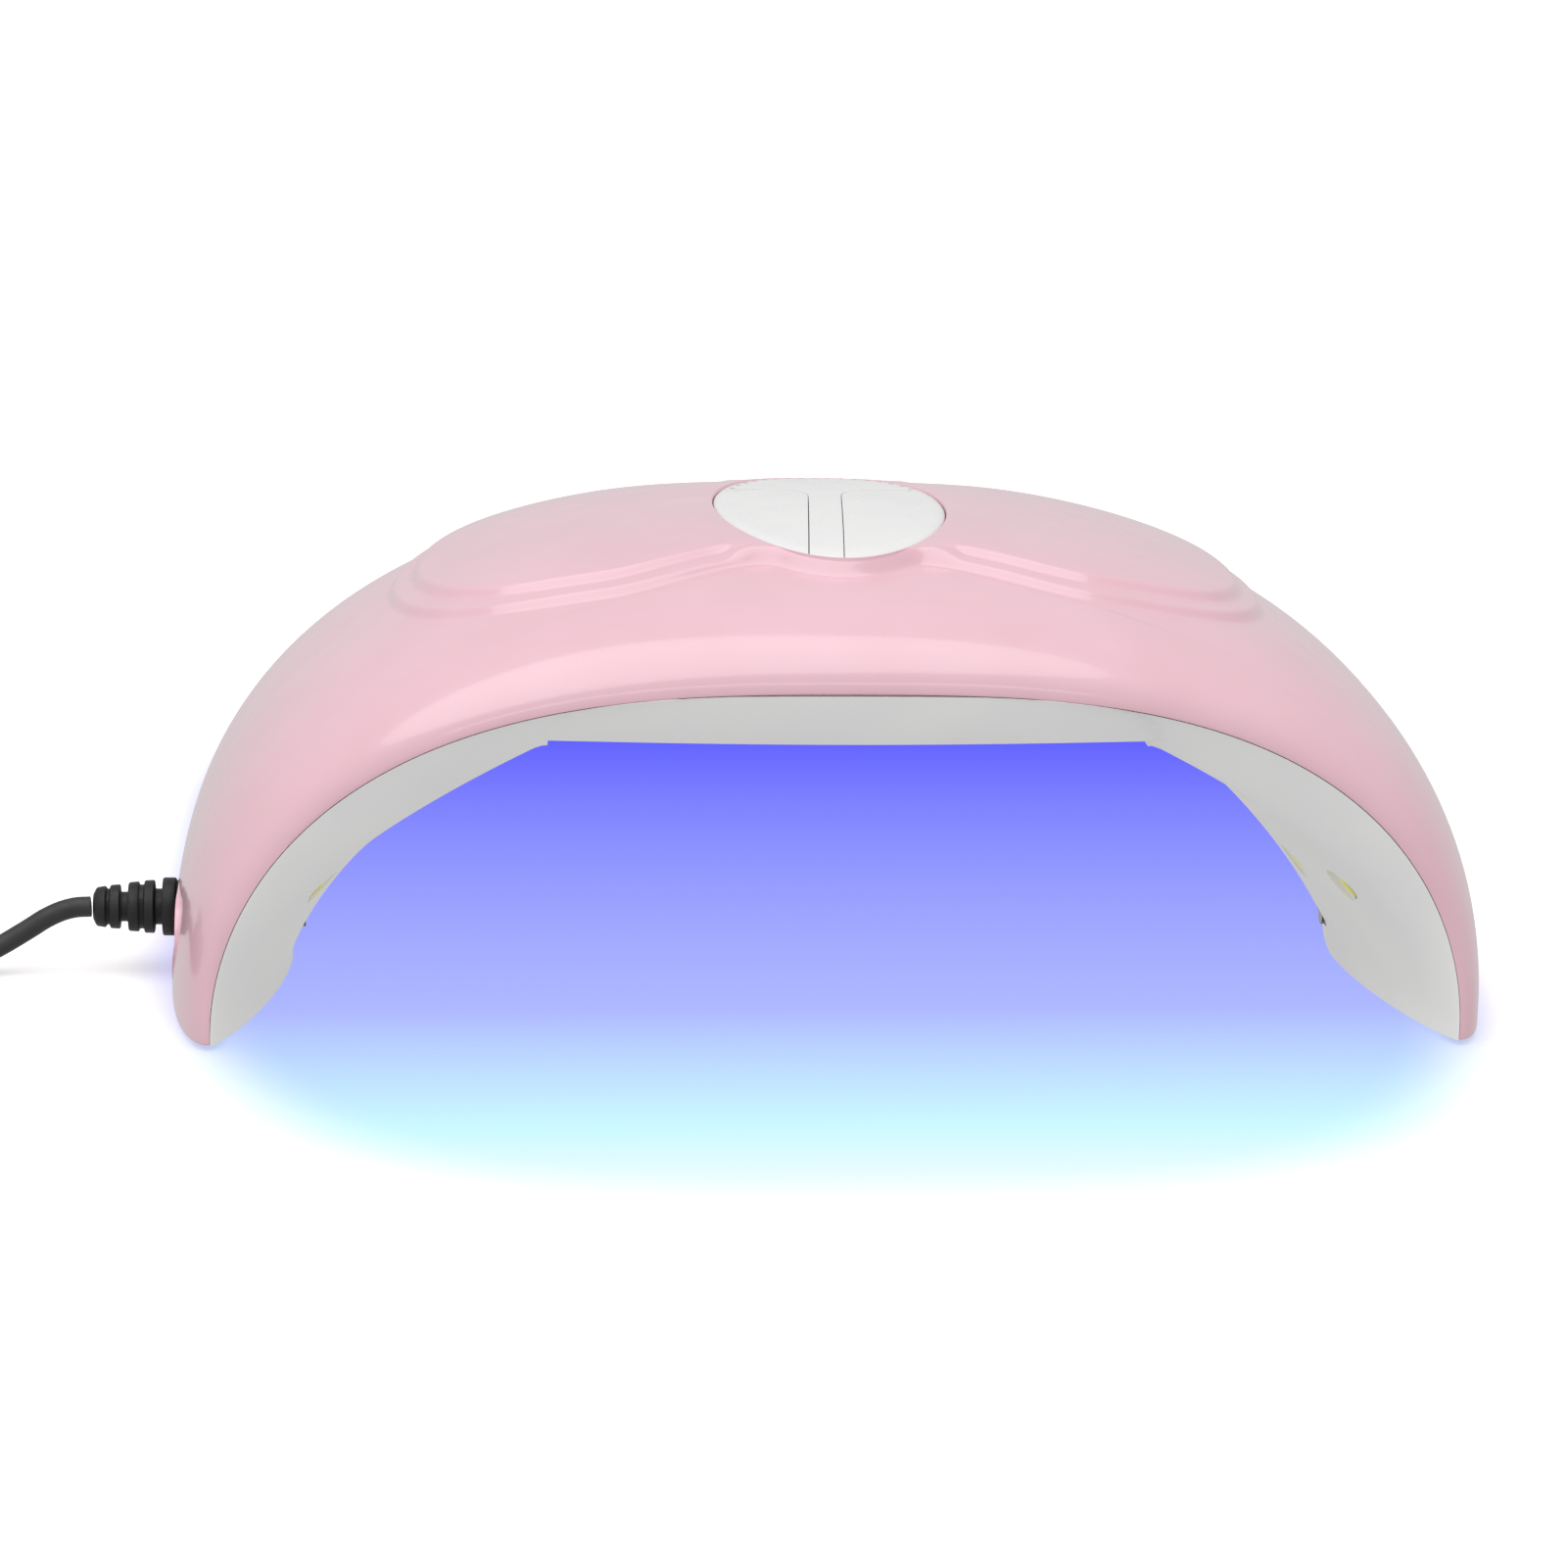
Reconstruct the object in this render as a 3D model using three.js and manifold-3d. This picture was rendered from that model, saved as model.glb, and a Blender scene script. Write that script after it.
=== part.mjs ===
// Arch-shaped UV LED nail lamp: a glossy outer shell over a white tunnel liner, two timer buttons on
// top, LED boards behind the liner, and a plug-in USB lead. Millimetres, +Z up, front towards -Y,
// with the origin on the ground under the middle of the lamp.
import * as THREE from "three";
import { mergeVertices } from "three/addons/utils/BufferGeometryUtils.js";
import Module from "manifold-3d";

const wasm = await Module();
wasm.setup();

// ---- driving dimensions ----
const GAP = 0.35; // clearance between neighbouring pieces
const BASE = 1; // height of the housing's bottom edge, which the foot pads lift off the ground
const SPRING = 2.5; // height where the arches start to curve in
const WALL = 2; // shell wall
const MID_ARCH = { a: 105, h: 72.54, n: 2.42, m: 2.28 }; // outer arch halfway back
const EDGE_ARCH = { a: 97.36, h: 56.59, n: 2.91, m: 1.89 }; // arch at the front and back edges
const FOOT_DEPTH = 44.3; // half depth at the feet
const EXTRA_DEPTH = 9.34; // what the crown adds to it
const BULGE_P = 2.28; // how the shell swells from edge to middle
const BULGE_Q = 2.14;
const RAISE = 2.4; // height of the wing pads over the shell
const WING_LENGTH = 70.3; // half length of the two pads
const OVAL = { a: 18.6, b: 30.4 }; // half axes of the button opening
const OVAL_LIP = 2; // raised pink lip round the opening
const LINER_WALL = 1.6;
const THROAT = { a: 86, h: 61.8, n: 1.75, m: 1.3 }; // hand tunnel halfway back, leaning in above the feet
const CEILING = 48.4; // tunnel ceiling
const LIP_START = 0.84; // where the ceiling starts to flare to the edge, as a share of the depth
const CEILING_POCKET = { x: 46, depth: 1.4, y: 42 };
const ARCH_STEPS = 30;
const DEPTH_STEPS = 12;
const PLATE_TOP = 2.8; // foot plate
const PLATE_END = 39; // half length of the foot plate
const PAD = { r: 4.5, h: 0.7, x: 95, y: 17 };
const CASE_SCREW = { x: 98.3, y: 30, head: 2.2, shank: 1.1, length: 11, sunk: 1.6 };
const CASE_BOSS = { r: 3.3, top: 18, hole: 15, ribTop: 12, ribX: 101.8 }; // takes a case screw
const BOARD_BOSS = { r: 3, top: 73.8, holeR: 1.35, hole: 70.5 }; // hangs under the crown
const STRIP = { width: 5.2, lean: 0.077, pivotY: 8 }; // fixed strip between the buttons, and its slant
const FLARE_Y = 10.8; // where the buttons' inner edges reach the oval at the back
const BUTTON_BOTTOM = 71;
const BEZEL_PLATE = { a: 21, b: 32, bottom: 68.6, top: 70.1 };
const SWITCH = { x: 9, y: -6, side: 6, body: 3, plungerR: 1.6, plunger: 1.3 };
const BOARD = { x: 29, y: 20, top: 62.1, thick: 1.6, screwX: 25 };
const LED = { r: 2.5, rows: [-30, -10, 10, 30], ceilingX: 22 };
const SIDE_LEDS = [
  { name: "wall", angle: THREE.MathUtils.degToRad(26.1), behind: 8.2, height: 11 },
  { name: "shoulder", angle: THREE.MathUtils.degToRad(43.2), behind: 6, height: 11 },
];
const LED_BOARD = { thick: 1, halfLength: 34 };
const SENSOR = { x: 83.8, z: 8, r: 1.6, length: 2.6 };
const JACK = { y: -4, z: 11, front: -99.6, back: -88.6, half: 4.2, bore: 3.05, pin: 0.85 };
// The recess round the jack: its floor's X, its wall, its middle and its rounded outline.
const POCKET = {
  floor: -101.7,
  outside: -103.5,
  wall: 1.7,
  y: -4,
  z: 10.3,
  width: 44,
  height: 11.6,
  corner: 5.2,
};
const PLUG_HOLE = 5.2; // radius of the hole through the pocket's floor
const FAR_OUT = 120; // beyond any side of the housing, for cutting tools
const PRISM_LOW = 40; // heights between which tools pass through the top of the shell
const PRISM_HIGH = 90;
const PLUG = { r: 2.75, bore: 1.25, length: 8 };
const BOOT_START = -102;
const CORD_R = 1.7;
const COIL = { x: -172, y: 8, middle: 18.7, columns: 4, layers: 2 };
const USB = { x: -195.8, y: 32, bodyLength: 24, bodyWidth: 15, bodyHeight: 8 };
const USB_SHELL = { width: 12, height: 4.5, length: 12, sheet: 0.5 };

// ---- solids ----
function solidOf(geometry) {
  const bare = geometry.clone();
  bare.deleteAttribute("normal");
  bare.deleteAttribute("uv");
  const merged = mergeVertices(bare, 1e-4);
  return new wasm.Manifold(
    new wasm.Mesh({
      numProp: 3,
      vertProperties: merged.attributes.position.array,
      triVerts: new Uint32Array(merged.index.array),
    }),
  );
}

function geometryOf(solid) {
  const mesh = solid.getMesh();
  const geometry = new THREE.BufferGeometry();
  geometry.setAttribute("position", new THREE.BufferAttribute(mesh.vertProperties, 3));
  geometry.setIndex(new THREE.BufferAttribute(mesh.triVerts, 1));
  geometry.computeVertexNormals();
  return geometry;
}

function joined(...geometries) {
  return geometries.map(solidOf).reduce((whole, next) => whole.add(next));
}

function without(solid, ...tools) {
  return tools.reduce((left, tool) => left.subtract(solidOf(tool)), solid);
}

function block(low, high) {
  const size = high.map((value, axis) => value - low[axis]);
  const centre = high.map((value, axis) => (value + low[axis]) / 2);
  return new THREE.BoxGeometry(...size).translate(...centre);
}

// A round bar from one point to another.
function bar(radius, from, to, sides = 16) {
  const start = new THREE.Vector3(...from);
  const along = new THREE.Vector3(...to).sub(start);
  const length = along.length();
  const turn = new THREE.Quaternion().setFromUnitVectors(
    new THREE.Vector3(0, 1, 0),
    along.clone().normalize(),
  );
  const middle = start.addScaledVector(along, 0.5);
  return new THREE.CylinderGeometry(radius, radius, length, sides)
    .applyQuaternion(turn)
    .translate(middle.x, middle.y, middle.z);
}

function prism(shape, bottom, top, curveSegments = 12) {
  const settings = { depth: top - bottom, bevelEnabled: false, curveSegments };
  return new THREE.ExtrudeGeometry(shape, settings).translate(0, 0, bottom);
}

function ellipseShape(a, b) {
  const shape = new THREE.Shape();
  shape.absellipse(0, 0, a, b, 0, 2 * Math.PI, false);
  return shape;
}

// A profile of [radius, height] pairs turned about +Z.
function turned(profile, sides) {
  const points = profile.map(([radius, height]) => new THREE.Vector2(radius, height));
  return new THREE.LatheGeometry(points, sides).rotateX(Math.PI / 2);
}

function tube(points, radius, steps, sides) {
  const curve = new THREE.CatmullRomCurve3(points.map((point) => new THREE.Vector3(...point)));
  const section = new THREE.Shape();
  section.absarc(0, 0, radius, 0, 2 * Math.PI, false);
  return new THREE.ExtrudeGeometry(section, {
    steps,
    extrudePath: curve,
    curveSegments: sides,
    bevelEnabled: false,
  });
}

// ---- the two curved skins ----
const power = (value, exponent) => Math.sign(value) * Math.abs(value) ** exponent;

// A point on a flattened arch at an angle that runs from the right foot, 0, to the left foot, pi.
function archPoint(angle, arch, grow) {
  return {
    x: (arch.a + grow) * power(Math.cos(angle), 2 / arch.n),
    z: SPRING + (arch.h + grow) * Math.abs(Math.sin(angle)) ** (2 / arch.m),
  };
}

const halfDepth = (angle) => FOOT_DEPTH + EXTRA_DEPTH * Math.sin(angle) ** 2;

// Outer shell at an arch angle and a share of the half depth, moved in by inset.
function shellPoint(angle, share, inset) {
  const edge = archPoint(angle, EDGE_ARCH, 0);
  const middle = archPoint(angle, MID_ARCH, -inset);
  const swell = (1 - Math.abs(share) ** BULGE_P) ** (1 / BULGE_Q);
  return new THREE.Vector3(
    edge.x + (middle.x - edge.x) * swell,
    (halfDepth(angle) - inset) * share,
    edge.z + (middle.z - edge.z) * swell,
  );
}

// Tunnel skin of the liner, moved out by offset. It narrows slowly at the feet and fast at the ceiling.
function linerPoint(angle, share, offset) {
  const edge = archPoint(angle, EDGE_ARCH, -GAP);
  const throat = archPoint(angle, THROAT, offset);
  const atFoot = (1 - Math.abs(share) ** 1.6) ** 0.8;
  const flare = Math.max(0, (Math.abs(share) - LIP_START) / (1 - LIP_START)) ** 1.6;
  const crown = Math.min(1, 1.25 * Math.sin(angle) ** 2);
  const swell = atFoot + (1 - flare - atFoot) * crown;
  const edgeTop = SPRING + EDGE_ARCH.h - GAP;
  const ceiling = CEILING + offset + (edgeTop - CEILING) * flare;
  return new THREE.Vector3(
    edge.x + (throat.x - edge.x) * swell,
    (halfDepth(angle) - offset) * share,
    Math.min(edge.z + (throat.z - edge.z) * swell, ceiling),
  );
}

// Rows of points over a skin, with a straight hem down to the bottom edge at each foot.
function gridOf(pointAt) {
  const rowAt = (angle) =>
    Array.from({ length: DEPTH_STEPS + 1 }, (_, step) =>
      pointAt(angle, Math.sin(Math.PI * (step / DEPTH_STEPS - 0.5))),
    );
  const hem = (row) => row.map((point) => new THREE.Vector3(point.x, point.y, BASE));
  const rows = Array.from({ length: ARCH_STEPS + 1 }, (_, step) =>
    rowAt((Math.PI * step) / ARCH_STEPS),
  );
  return [hem(rows[0]), ...rows, hem(rows[ARCH_STEPS])];
}

// The closed wall between two grids that have the same rows and columns.
function wallBetween(outer, inner) {
  const rows = outer.length;
  const columns = outer[0].length;
  const index = [];
  const at = (side, row, column) => (side * rows + row) * columns + column;
  const quad = (a, b, c, d) => index.push(a, b, c, a, c, d);
  for (let i = 0; i < rows - 1; i++) {
    for (let j = 0; j < columns - 1; j++) {
      quad(at(0, i, j), at(0, i, j + 1), at(0, i + 1, j + 1), at(0, i + 1, j));
      quad(at(1, i, j), at(1, i + 1, j), at(1, i + 1, j + 1), at(1, i, j + 1));
    }
    const last = columns - 1;
    quad(at(0, i, 0), at(0, i + 1, 0), at(1, i + 1, 0), at(1, i, 0));
    quad(at(0, i + 1, last), at(0, i, last), at(1, i, last), at(1, i + 1, last));
  }
  for (let j = 0; j < columns - 1; j++) {
    const last = rows - 1;
    quad(at(0, 0, j + 1), at(0, 0, j), at(1, 0, j), at(1, 0, j + 1));
    quad(at(0, last, j), at(0, last, j + 1), at(1, last, j + 1), at(1, last, j));
  }
  const points = [...outer.flat(), ...inner.flat()];
  const geometry = new THREE.BufferGeometry().setFromPoints(points);
  geometry.setIndex(index);
  return geometry;
}

function shellWall(outerInset, innerInset) {
  const outer = gridOf((angle, share) => shellPoint(angle, share, outerInset));
  const inner = gridOf((angle, share) => shellPoint(angle, share, innerInset));
  return wallBetween(outer, inner);
}

// ---- outer shell ----
// Half depth of the wing pads at a distance from the middle: wider past the oval, round at the ends.
function wingHalfDepth(x) {
  const widen = THREE.MathUtils.smoothstep(x, 10, 38);
  return (27 + 8 * widen) * Math.sqrt(Math.max(0, 1 - (x / WING_LENGTH) ** 6));
}

function wingShape() {
  const front = [];
  for (let degrees = 0; degrees <= 180; degrees += 7.5) {
    const x = WING_LENGTH * Math.cos(THREE.MathUtils.degToRad(degrees));
    front.push(new THREE.Vector2(x, -wingHalfDepth(Math.abs(x))));
  }
  const back = front.slice(1, -1).reverse();
  return new THREE.Shape([...front, ...back.map((point) => new THREE.Vector2(point.x, -point.y))]);
}

function roundedBox(width, height, radius) {
  const shape = new THREE.Shape();
  const x = width / 2 - radius;
  const y = height / 2 - radius;
  shape.absarc(x, y, radius, 0, Math.PI / 2, false);
  shape.absarc(-x, y, radius, Math.PI / 2, Math.PI, false);
  shape.absarc(-x, -y, radius, Math.PI, Math.PI * 1.5, false);
  shape.absarc(x, -y, radius, Math.PI * 1.5, Math.PI * 2, false);
  return shape;
}

// A rounded block whose outline lies across X, centred on the jack pocket.
function pocketBlock(grow, from, to) {
  const { width, height, corner } = POCKET;
  const outline = roundedBox(height + 2 * grow, width + 2 * grow, corner + grow);
  return prism(outline, from, to, 4)
    .rotateY(Math.PI / 2)
    .translate(0, POCKET.y, POCKET.z);
}

function upperShell() {
  const pads = joined(
    prism(wingShape(), PRISM_LOW, PRISM_HIGH),
    prism(ellipseShape(OVAL.a + OVAL_LIP, OVAL.b + OVAL_LIP), PRISM_LOW, PRISM_HIGH, 20),
  );
  const raised = pads.intersect(solidOf(shellWall(-RAISE, WALL / 2)));
  const pocketBack = solidOf(pocketBlock(POCKET.wall, POCKET.outside, POCKET.floor + POCKET.wall));
  let shell = solidOf(shellWall(0, WALL)).add(raised).add(pocketBack);
  for (const side of [-1, 1]) {
    const screwX = side * BOARD.screwX;
    const bossBottom = BOARD.top + GAP;
    shell = shell.add(solidOf(bar(BOARD_BOSS.r, [screwX, 0, bossBottom], [screwX, 0, BOARD_BOSS.top])));
    shell = without(
      shell,
      bar(BOARD_BOSS.holeR, [screwX, 0, bossBottom - 1], [screwX, 0, BOARD_BOSS.hole], 12),
    );
    for (const end of [-1, 1]) {
      const x = side * CASE_SCREW.x;
      const y = end * CASE_SCREW.y;
      const bottom = PLATE_TOP + CASE_SCREW.sunk;
      const outside = side * CASE_BOSS.ribX;
      const rib = block(
        [Math.min(x, outside), y - 1, bottom],
        [Math.max(x, outside), y + 1, CASE_BOSS.ribTop],
      );
      const boss = bar(CASE_BOSS.r, [x, y, bottom], [x, y, CASE_BOSS.top]);
      shell = shell.add(solidOf(boss)).add(solidOf(rib));
      shell = without(shell, bar(CASE_SCREW.shank + GAP, [x, y, 0], [x, y, CASE_BOSS.hole], 12));
    }
  }
  return without(
    shell,
    prism(ellipseShape(OVAL.a, OVAL.b), PRISM_LOW, PRISM_HIGH, 24),
    pocketBlock(0, -FAR_OUT, POCKET.floor),
    bar(PLUG_HOLE, [-FAR_OUT, JACK.y, JACK.z], [JACK.front + 4, JACK.y, JACK.z], 20),
  );
}

// ---- tunnel liner ----
// The foot plate closes the space between the liner and the shell at one side's bottom edge.
function footPlate(side) {
  const inside = [];
  const outside = [];
  for (let y = -PLATE_END; y <= PLATE_END; y += PLATE_END / 6) {
    const linerX = linerPoint(0, y / FOOT_DEPTH, LINER_WALL / 2).x;
    const shellX = shellPoint(0, y / (FOOT_DEPTH - WALL), WALL).x;
    inside.push(new THREE.Vector2(side * linerX, y));
    outside.unshift(new THREE.Vector2(side * (shellX - GAP), y));
  }
  return prism(new THREE.Shape([...inside, ...outside]), BASE, PLATE_TOP);
}

function innerLiner(leds) {
  const tunnel = gridOf((angle, share) => linerPoint(angle, share, 0));
  const cavity = gridOf((angle, share) => linerPoint(angle, share, LINER_WALL));
  const pocket = CEILING_POCKET;
  const top = CEILING + pocket.depth;
  let liner = solidOf(wallBetween(cavity, tunnel));
  const roof = block(
    [-pocket.x - 2, -pocket.y, CEILING + 0.4],
    [pocket.x + 2, pocket.y, top + LINER_WALL],
  );
  liner = liner.add(solidOf(roof));
  liner = without(liner, block([-pocket.x, -FAR_OUT, PRISM_LOW], [pocket.x, FAR_OUT, top]));
  for (const led of leds) liner = without(liner, led.hole);
  for (const side of [-1, 1]) {
    liner = liner.add(solidOf(footPlate(side)));
    for (const end of [-1, 1]) {
      const x = side * CASE_SCREW.x;
      const y = end * CASE_SCREW.y;
      const well = BASE + CASE_SCREW.sunk;
      liner = liner.add(solidOf(bar(3, [x, y, BASE], [x, y, PLATE_TOP + 1.2])));
      liner = without(
        liner,
        bar(CASE_SCREW.head + GAP, [x, y, 0], [x, y, well]),
        bar(CASE_SCREW.shank + GAP, [x, y, 0], [x, y, PLATE_TOP + 5], 12),
      );
    }
    const window = [SENSOR.x - 8, SENSOR.x + 8].map((x) => [side * x, 0, SENSOR.z]);
    liner = without(liner, bar(SENSOR.r + GAP, ...window, 12));
  }
  return liner;
}

// ---- LED boards and beads ----
// One bead at a point of the tunnel skin, with its axis pointing into the tunnel.
function ledAt(front, inward, boardDistance) {
  const length = boardDistance - GAP;
  const outside = front.clone().addScaledVector(inward, -LINER_WALL - 3);
  const inside = front.clone().addScaledVector(inward, 3);
  return { front, inward, length, hole: bar(LED.r + GAP, outside.toArray(), inside.toArray(), 12) };
}

// A frame for one row of side beads: its middle point on the skin and the direction into the tunnel.
function sideStation(side, station) {
  const angle = side > 0 ? station.angle : Math.PI - station.angle;
  const step = 0.02;
  const along = linerPoint(angle + step, 0, 0).sub(linerPoint(angle - step, 0, 0)).normalize();
  const inward = new THREE.Vector3(-along.z, 0, along.x);
  const middle = linerPoint(angle, 0, 0);
  if (inward.dot(middle) > 0) inward.negate();
  return { angle, inward, middle, behind: station.behind, height: station.height };
}

function sideLeds(station) {
  return LED.rows.map((y) => {
    const surface = linerPoint(station.angle, y / halfDepth(station.angle), 0);
    const fallBack = station.middle.clone().sub(surface).dot(station.inward);
    return ledAt(surface, station.inward, station.behind - fallBack);
  });
}

function ceilingLed(x) {
  const front = new THREE.Vector3(x, 0, CEILING + CEILING_POCKET.depth);
  return ledAt(front, new THREE.Vector3(0, 0, -1), LINER_WALL + 0.6);
}

function beadGeometry(length) {
  const shoulder = Math.min(0.7, length / 2);
  const profile = [[0, 0], [LED.r, 0], [LED.r, length - shoulder], [LED.r * 0.6, length], [0, length]];
  return turned(profile, 8);
}

// ---- top controls ----
// Outline of one timer button: a lobe between the strip, the oval's edge and a line that flares back.
// The strip slants a little, so its edge is shifted in proportion to the distance from its pivot.
function buttonOutline(side, a, b, stripX, flareY) {
  const slant = (y) => side * STRIP.lean * (y - STRIP.pivotY);
  const shape = new THREE.Shape();
  const start = -Math.acos((stripX + slant(-b)) / a);
  const end = Math.asin(flareY / b);
  shape.absellipse(0, 0, a, b, start, end, false);
  const turnY = flareY - 6;
  shape.quadraticCurveTo(stripX + 0.6, flareY + 3, stripX + slant(turnY), turnY);
  const points = shape.getPoints(14);
  return new THREE.Shape(points.map((point) => new THREE.Vector2(side * point.x, point.y)));
}

function timerButton(side, crown) {
  const outline = buttonOutline(side, OVAL.a - GAP, OVAL.b - GAP, STRIP.width / 2 + GAP, FLARE_Y);
  const cap = solidOf(prism(outline, BUTTON_BOTTOM, PRISM_HIGH)).intersect(crown);
  const x = side * SWITCH.x;
  const stem = bar(1.7, [x, SWITCH.y, BEZEL_PLATE.bottom - 0.6], [x, SWITCH.y, BUTTON_BOTTOM + 1]);
  return cap.add(solidOf(stem));
}

function buttonBezel(crown) {
  const oval = solidOf(prism(ellipseShape(OVAL.a - GAP, OVAL.b - GAP), BEZEL_PLATE.bottom, PRISM_HIGH, 24));
  let bezel = oval.intersect(crown);
  for (const side of [-1, 1]) {
    const outline = buttonOutline(side, OVAL.a + 3, OVAL.b + 3, STRIP.width / 2, FLARE_Y + GAP);
    bezel = without(bezel, prism(outline, BEZEL_PLATE.bottom - 5, PRISM_HIGH));
  }
  const { a, b, bottom, top } = BEZEL_PLATE;
  bezel = bezel.add(solidOf(prism(ellipseShape(a, b), bottom, top, 24)));
  for (const side of [-1, 1]) {
    const x = side * SWITCH.x;
    bezel = without(bezel, bar(2.2, [x, SWITCH.y, bottom - 1], [x, SWITCH.y, top + 1], 12));
  }
  return bezel;
}

// ---- power lead ----
// The moulded boot: a smooth neck in the pocket, a flange, and two ribbed groups that taper to the cord.
const BOOT_PROFILE = [
  [0, 0], [4.2, 0], [4.2, 2.4], [4.7, 2.6], [4.7, 4.6], [2.9, 4.9], [2.9, 5.7],
  [4.3, 5.9], [4.2, 7.5], [3.6, 7.8], [3.6, 8.2], [4.0, 8.4], [3.9, 10], [2.4, 10.3], [2.4, 11.3],
  [3.6, 11.5], [3.5, 13], [2.9, 13.2], [2.9, 13.6], [3.3, 13.8], [3.1, 15.2], [2.1, 15.8], [0, 15.8],
];

const LEAD_POINTS = [
  [-118.2, -4, 11], [-121, -4, 10.8], [-124.5, -4.2, 9.6], [-128.5, -4.6, 7.2], [-133, -5.2, 4.6],
  [-138, -6.8, 2.5], [-143, -9.6, 1.85], [-148, -12.8, 1.72], [-153, -15.1, 1.7], [-157.4, -15.8, 1.7],
];
const TAIL_POINTS = [
  [-196.2, 23, 5.1], [-196.2, 25, 4.9], [-196, 27.5, 4.4], [-195.8, 31.4, 4],
];

function coilRing() {
  const half = (COIL.columns * CORD_R * 2) / 2 + 0.15;
  const top = COIL.layers * CORD_R * 2 + 0.2;
  const low = COIL.middle - half;
  const high = COIL.middle + half;
  const edge = 1;
  return turned(
    [
      [low, edge], [low + edge, 0], [high - edge, 0], [high, edge],
      [high, top - edge], [high - edge, top], [low + edge, top], [low, top - edge], [low, edge],
    ],
    28,
  );
}

// A hoop over the coil that stands on the ground on both sides of it.
function coilTie() {
  const half = COIL.columns * CORD_R + 0.6;
  const top = COIL.layers * CORD_R * 2 + 0.7;
  const shape = new THREE.Shape();
  shape.moveTo(-half - 0.8, 0);
  shape.lineTo(-half - 0.8, top);
  shape.lineTo(-half, top + 0.8);
  shape.lineTo(half, top + 0.8);
  shape.lineTo(half + 0.8, top);
  shape.lineTo(half + 0.8, 0);
  shape.lineTo(half, 0);
  shape.lineTo(half, top);
  shape.lineTo(-half, top);
  shape.lineTo(-half, 0);
  shape.closePath();
  return new THREE.ExtrudeGeometry(shape, { depth: 3, bevelEnabled: false })
    .translate(0, 0, -1.5)
    .rotateX(Math.PI / 2);
}

function usbBody() {
  const outline = roundedBox(USB.bodyWidth, USB.bodyHeight, 2);
  const neck = bar(3, [0, -4, 0], [0, 1, 0]);
  const body = new THREE.ExtrudeGeometry(outline, {
    depth: USB.bodyLength - 4,
    bevelEnabled: false,
    curveSegments: 3,
  }).rotateX(-Math.PI / 2);
  return joined(body, neck);
}

// The folded metal sleeve, open at its mouth.
function usbShell() {
  const { width, height, length, sheet } = USB_SHELL;
  const outside = block([-width / 2, 0, -height / 2], [width / 2, length, height / 2]);
  const inside = block(
    [-width / 2 + sheet, 1, -height / 2 + sheet],
    [width / 2 - sheet, length + 1, height / 2 - sheet],
  );
  const tongue = block([-width / 2 + 1, 0.5, 0.2], [width / 2 - 1, length - 1, height / 2 - 0.2]);
  return without(solidOf(outside), inside).add(solidOf(tongue));
}

// ---- materials ----
function material(color, roughness, metalness = 0) {
  return new THREE.MeshStandardMaterial({ color, roughness, metalness });
}

const PINK = material(0xefc9d4, 0.2);
const WHITE = material(0xe6e6e6, 0.45);
const GLOSS_WHITE = material(0xeeeeee, 0.25);
const AMBER = material(0xdfdf8f, 0.2);
const BOARD_WHITE = material(0xf2f2ee, 0.5);
const BOARD_GREEN = material(0x1d6b3c, 0.5);
const BLACK = material(0x1a1a1a, 0.6);
const CORD_BLACK = material(0x2e2e2e, 0.55);
const DARK = material(0x25222a, 0.3);
const STEEL = material(0xc0c2c6, 0.3, 1);
const ALUMINIUM = material(0xb8bcc0, 0.35, 1);
const RUBBER = material(0x8d8f92, 0.85);
const RED = material(0xb3261e, 0.5);

// ---- assembly ----
const group = new THREE.Group();

function add(name, shape, finish, position = [0, 0, 0], parent = group) {
  const geometry = shape.isBufferGeometry ? shape : geometryOf(shape);
  const mesh = new THREE.Mesh(geometry, finish);
  mesh.name = name;
  mesh.position.set(...position);
  parent.add(mesh);
  return mesh;
}

const sides = [["left", -1], ["right", 1]];
const stations = sides.flatMap(([label, side]) =>
  SIDE_LEDS.map((station) => ({ name: `${station.name}_${label}`, ...sideStation(side, station) })),
);
const leds = [
  ...stations.flatMap(sideLeds),
  ...[-LED.ceilingX, LED.ceilingX].map(ceilingLed),
];

add("upper_shell", upperShell(), PINK);
add("inner_liner", innerLiner(leds), WHITE);

const crown = solidOf(shellWall(-RAISE, 9));
add("button_bezel", buttonBezel(crown), GLOSS_WHITE);
for (const [label, side] of sides) {
  const x = side * SWITCH.x;
  const half = SWITCH.side / 2;
  const switchBottom = BOARD.top + GAP;
  add(`timer_button_${label}`, timerButton(side, crown), GLOSS_WHITE);
  const body = block([-half, -half, 0], [half, half, SWITCH.body]);
  add(`tact_switch_${label}`, body, BLACK, [x, SWITCH.y, switchBottom]);
  const plungerTop = BEZEL_PLATE.bottom - 0.6 - GAP;
  const plunger = bar(SWITCH.plungerR, [0, 0, -SWITCH.plunger], [0, 0, 0], 12);
  add(`switch_plunger_${label}`, plunger, WHITE, [x, SWITCH.y, plungerTop]);
}

// Control board under the buttons, and the parts soldered below it.
const boardBottom = BOARD.top - BOARD.thick;
let board = solidOf(block([-BOARD.x, -BOARD.y, boardBottom], [BOARD.x, BOARD.y, BOARD.top]));
for (const x of [-BOARD.screwX, BOARD.screwX]) {
  board = without(board, bar(1.5, [x, 0, boardBottom - 1], [x, 0, BOARD.top + 1], 12));
}
add("control_board", board, BOARD_GREEN);
add("controller_chip", block([-3.5, -3.5, -1.4], [3.5, 3.5, 0]), BLACK, [0, 10, boardBottom - GAP]);
add("smoothing_capacitor", bar(3, [0, 0, -5], [0, 0, 0]), ALUMINIUM, [9, -11, boardBottom - GAP]);
add("power_transistor", block([-3.2, -3, -2.2], [3.2, 3, 0]), BLACK, [-8, -11, boardBottom - GAP]);
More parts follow.
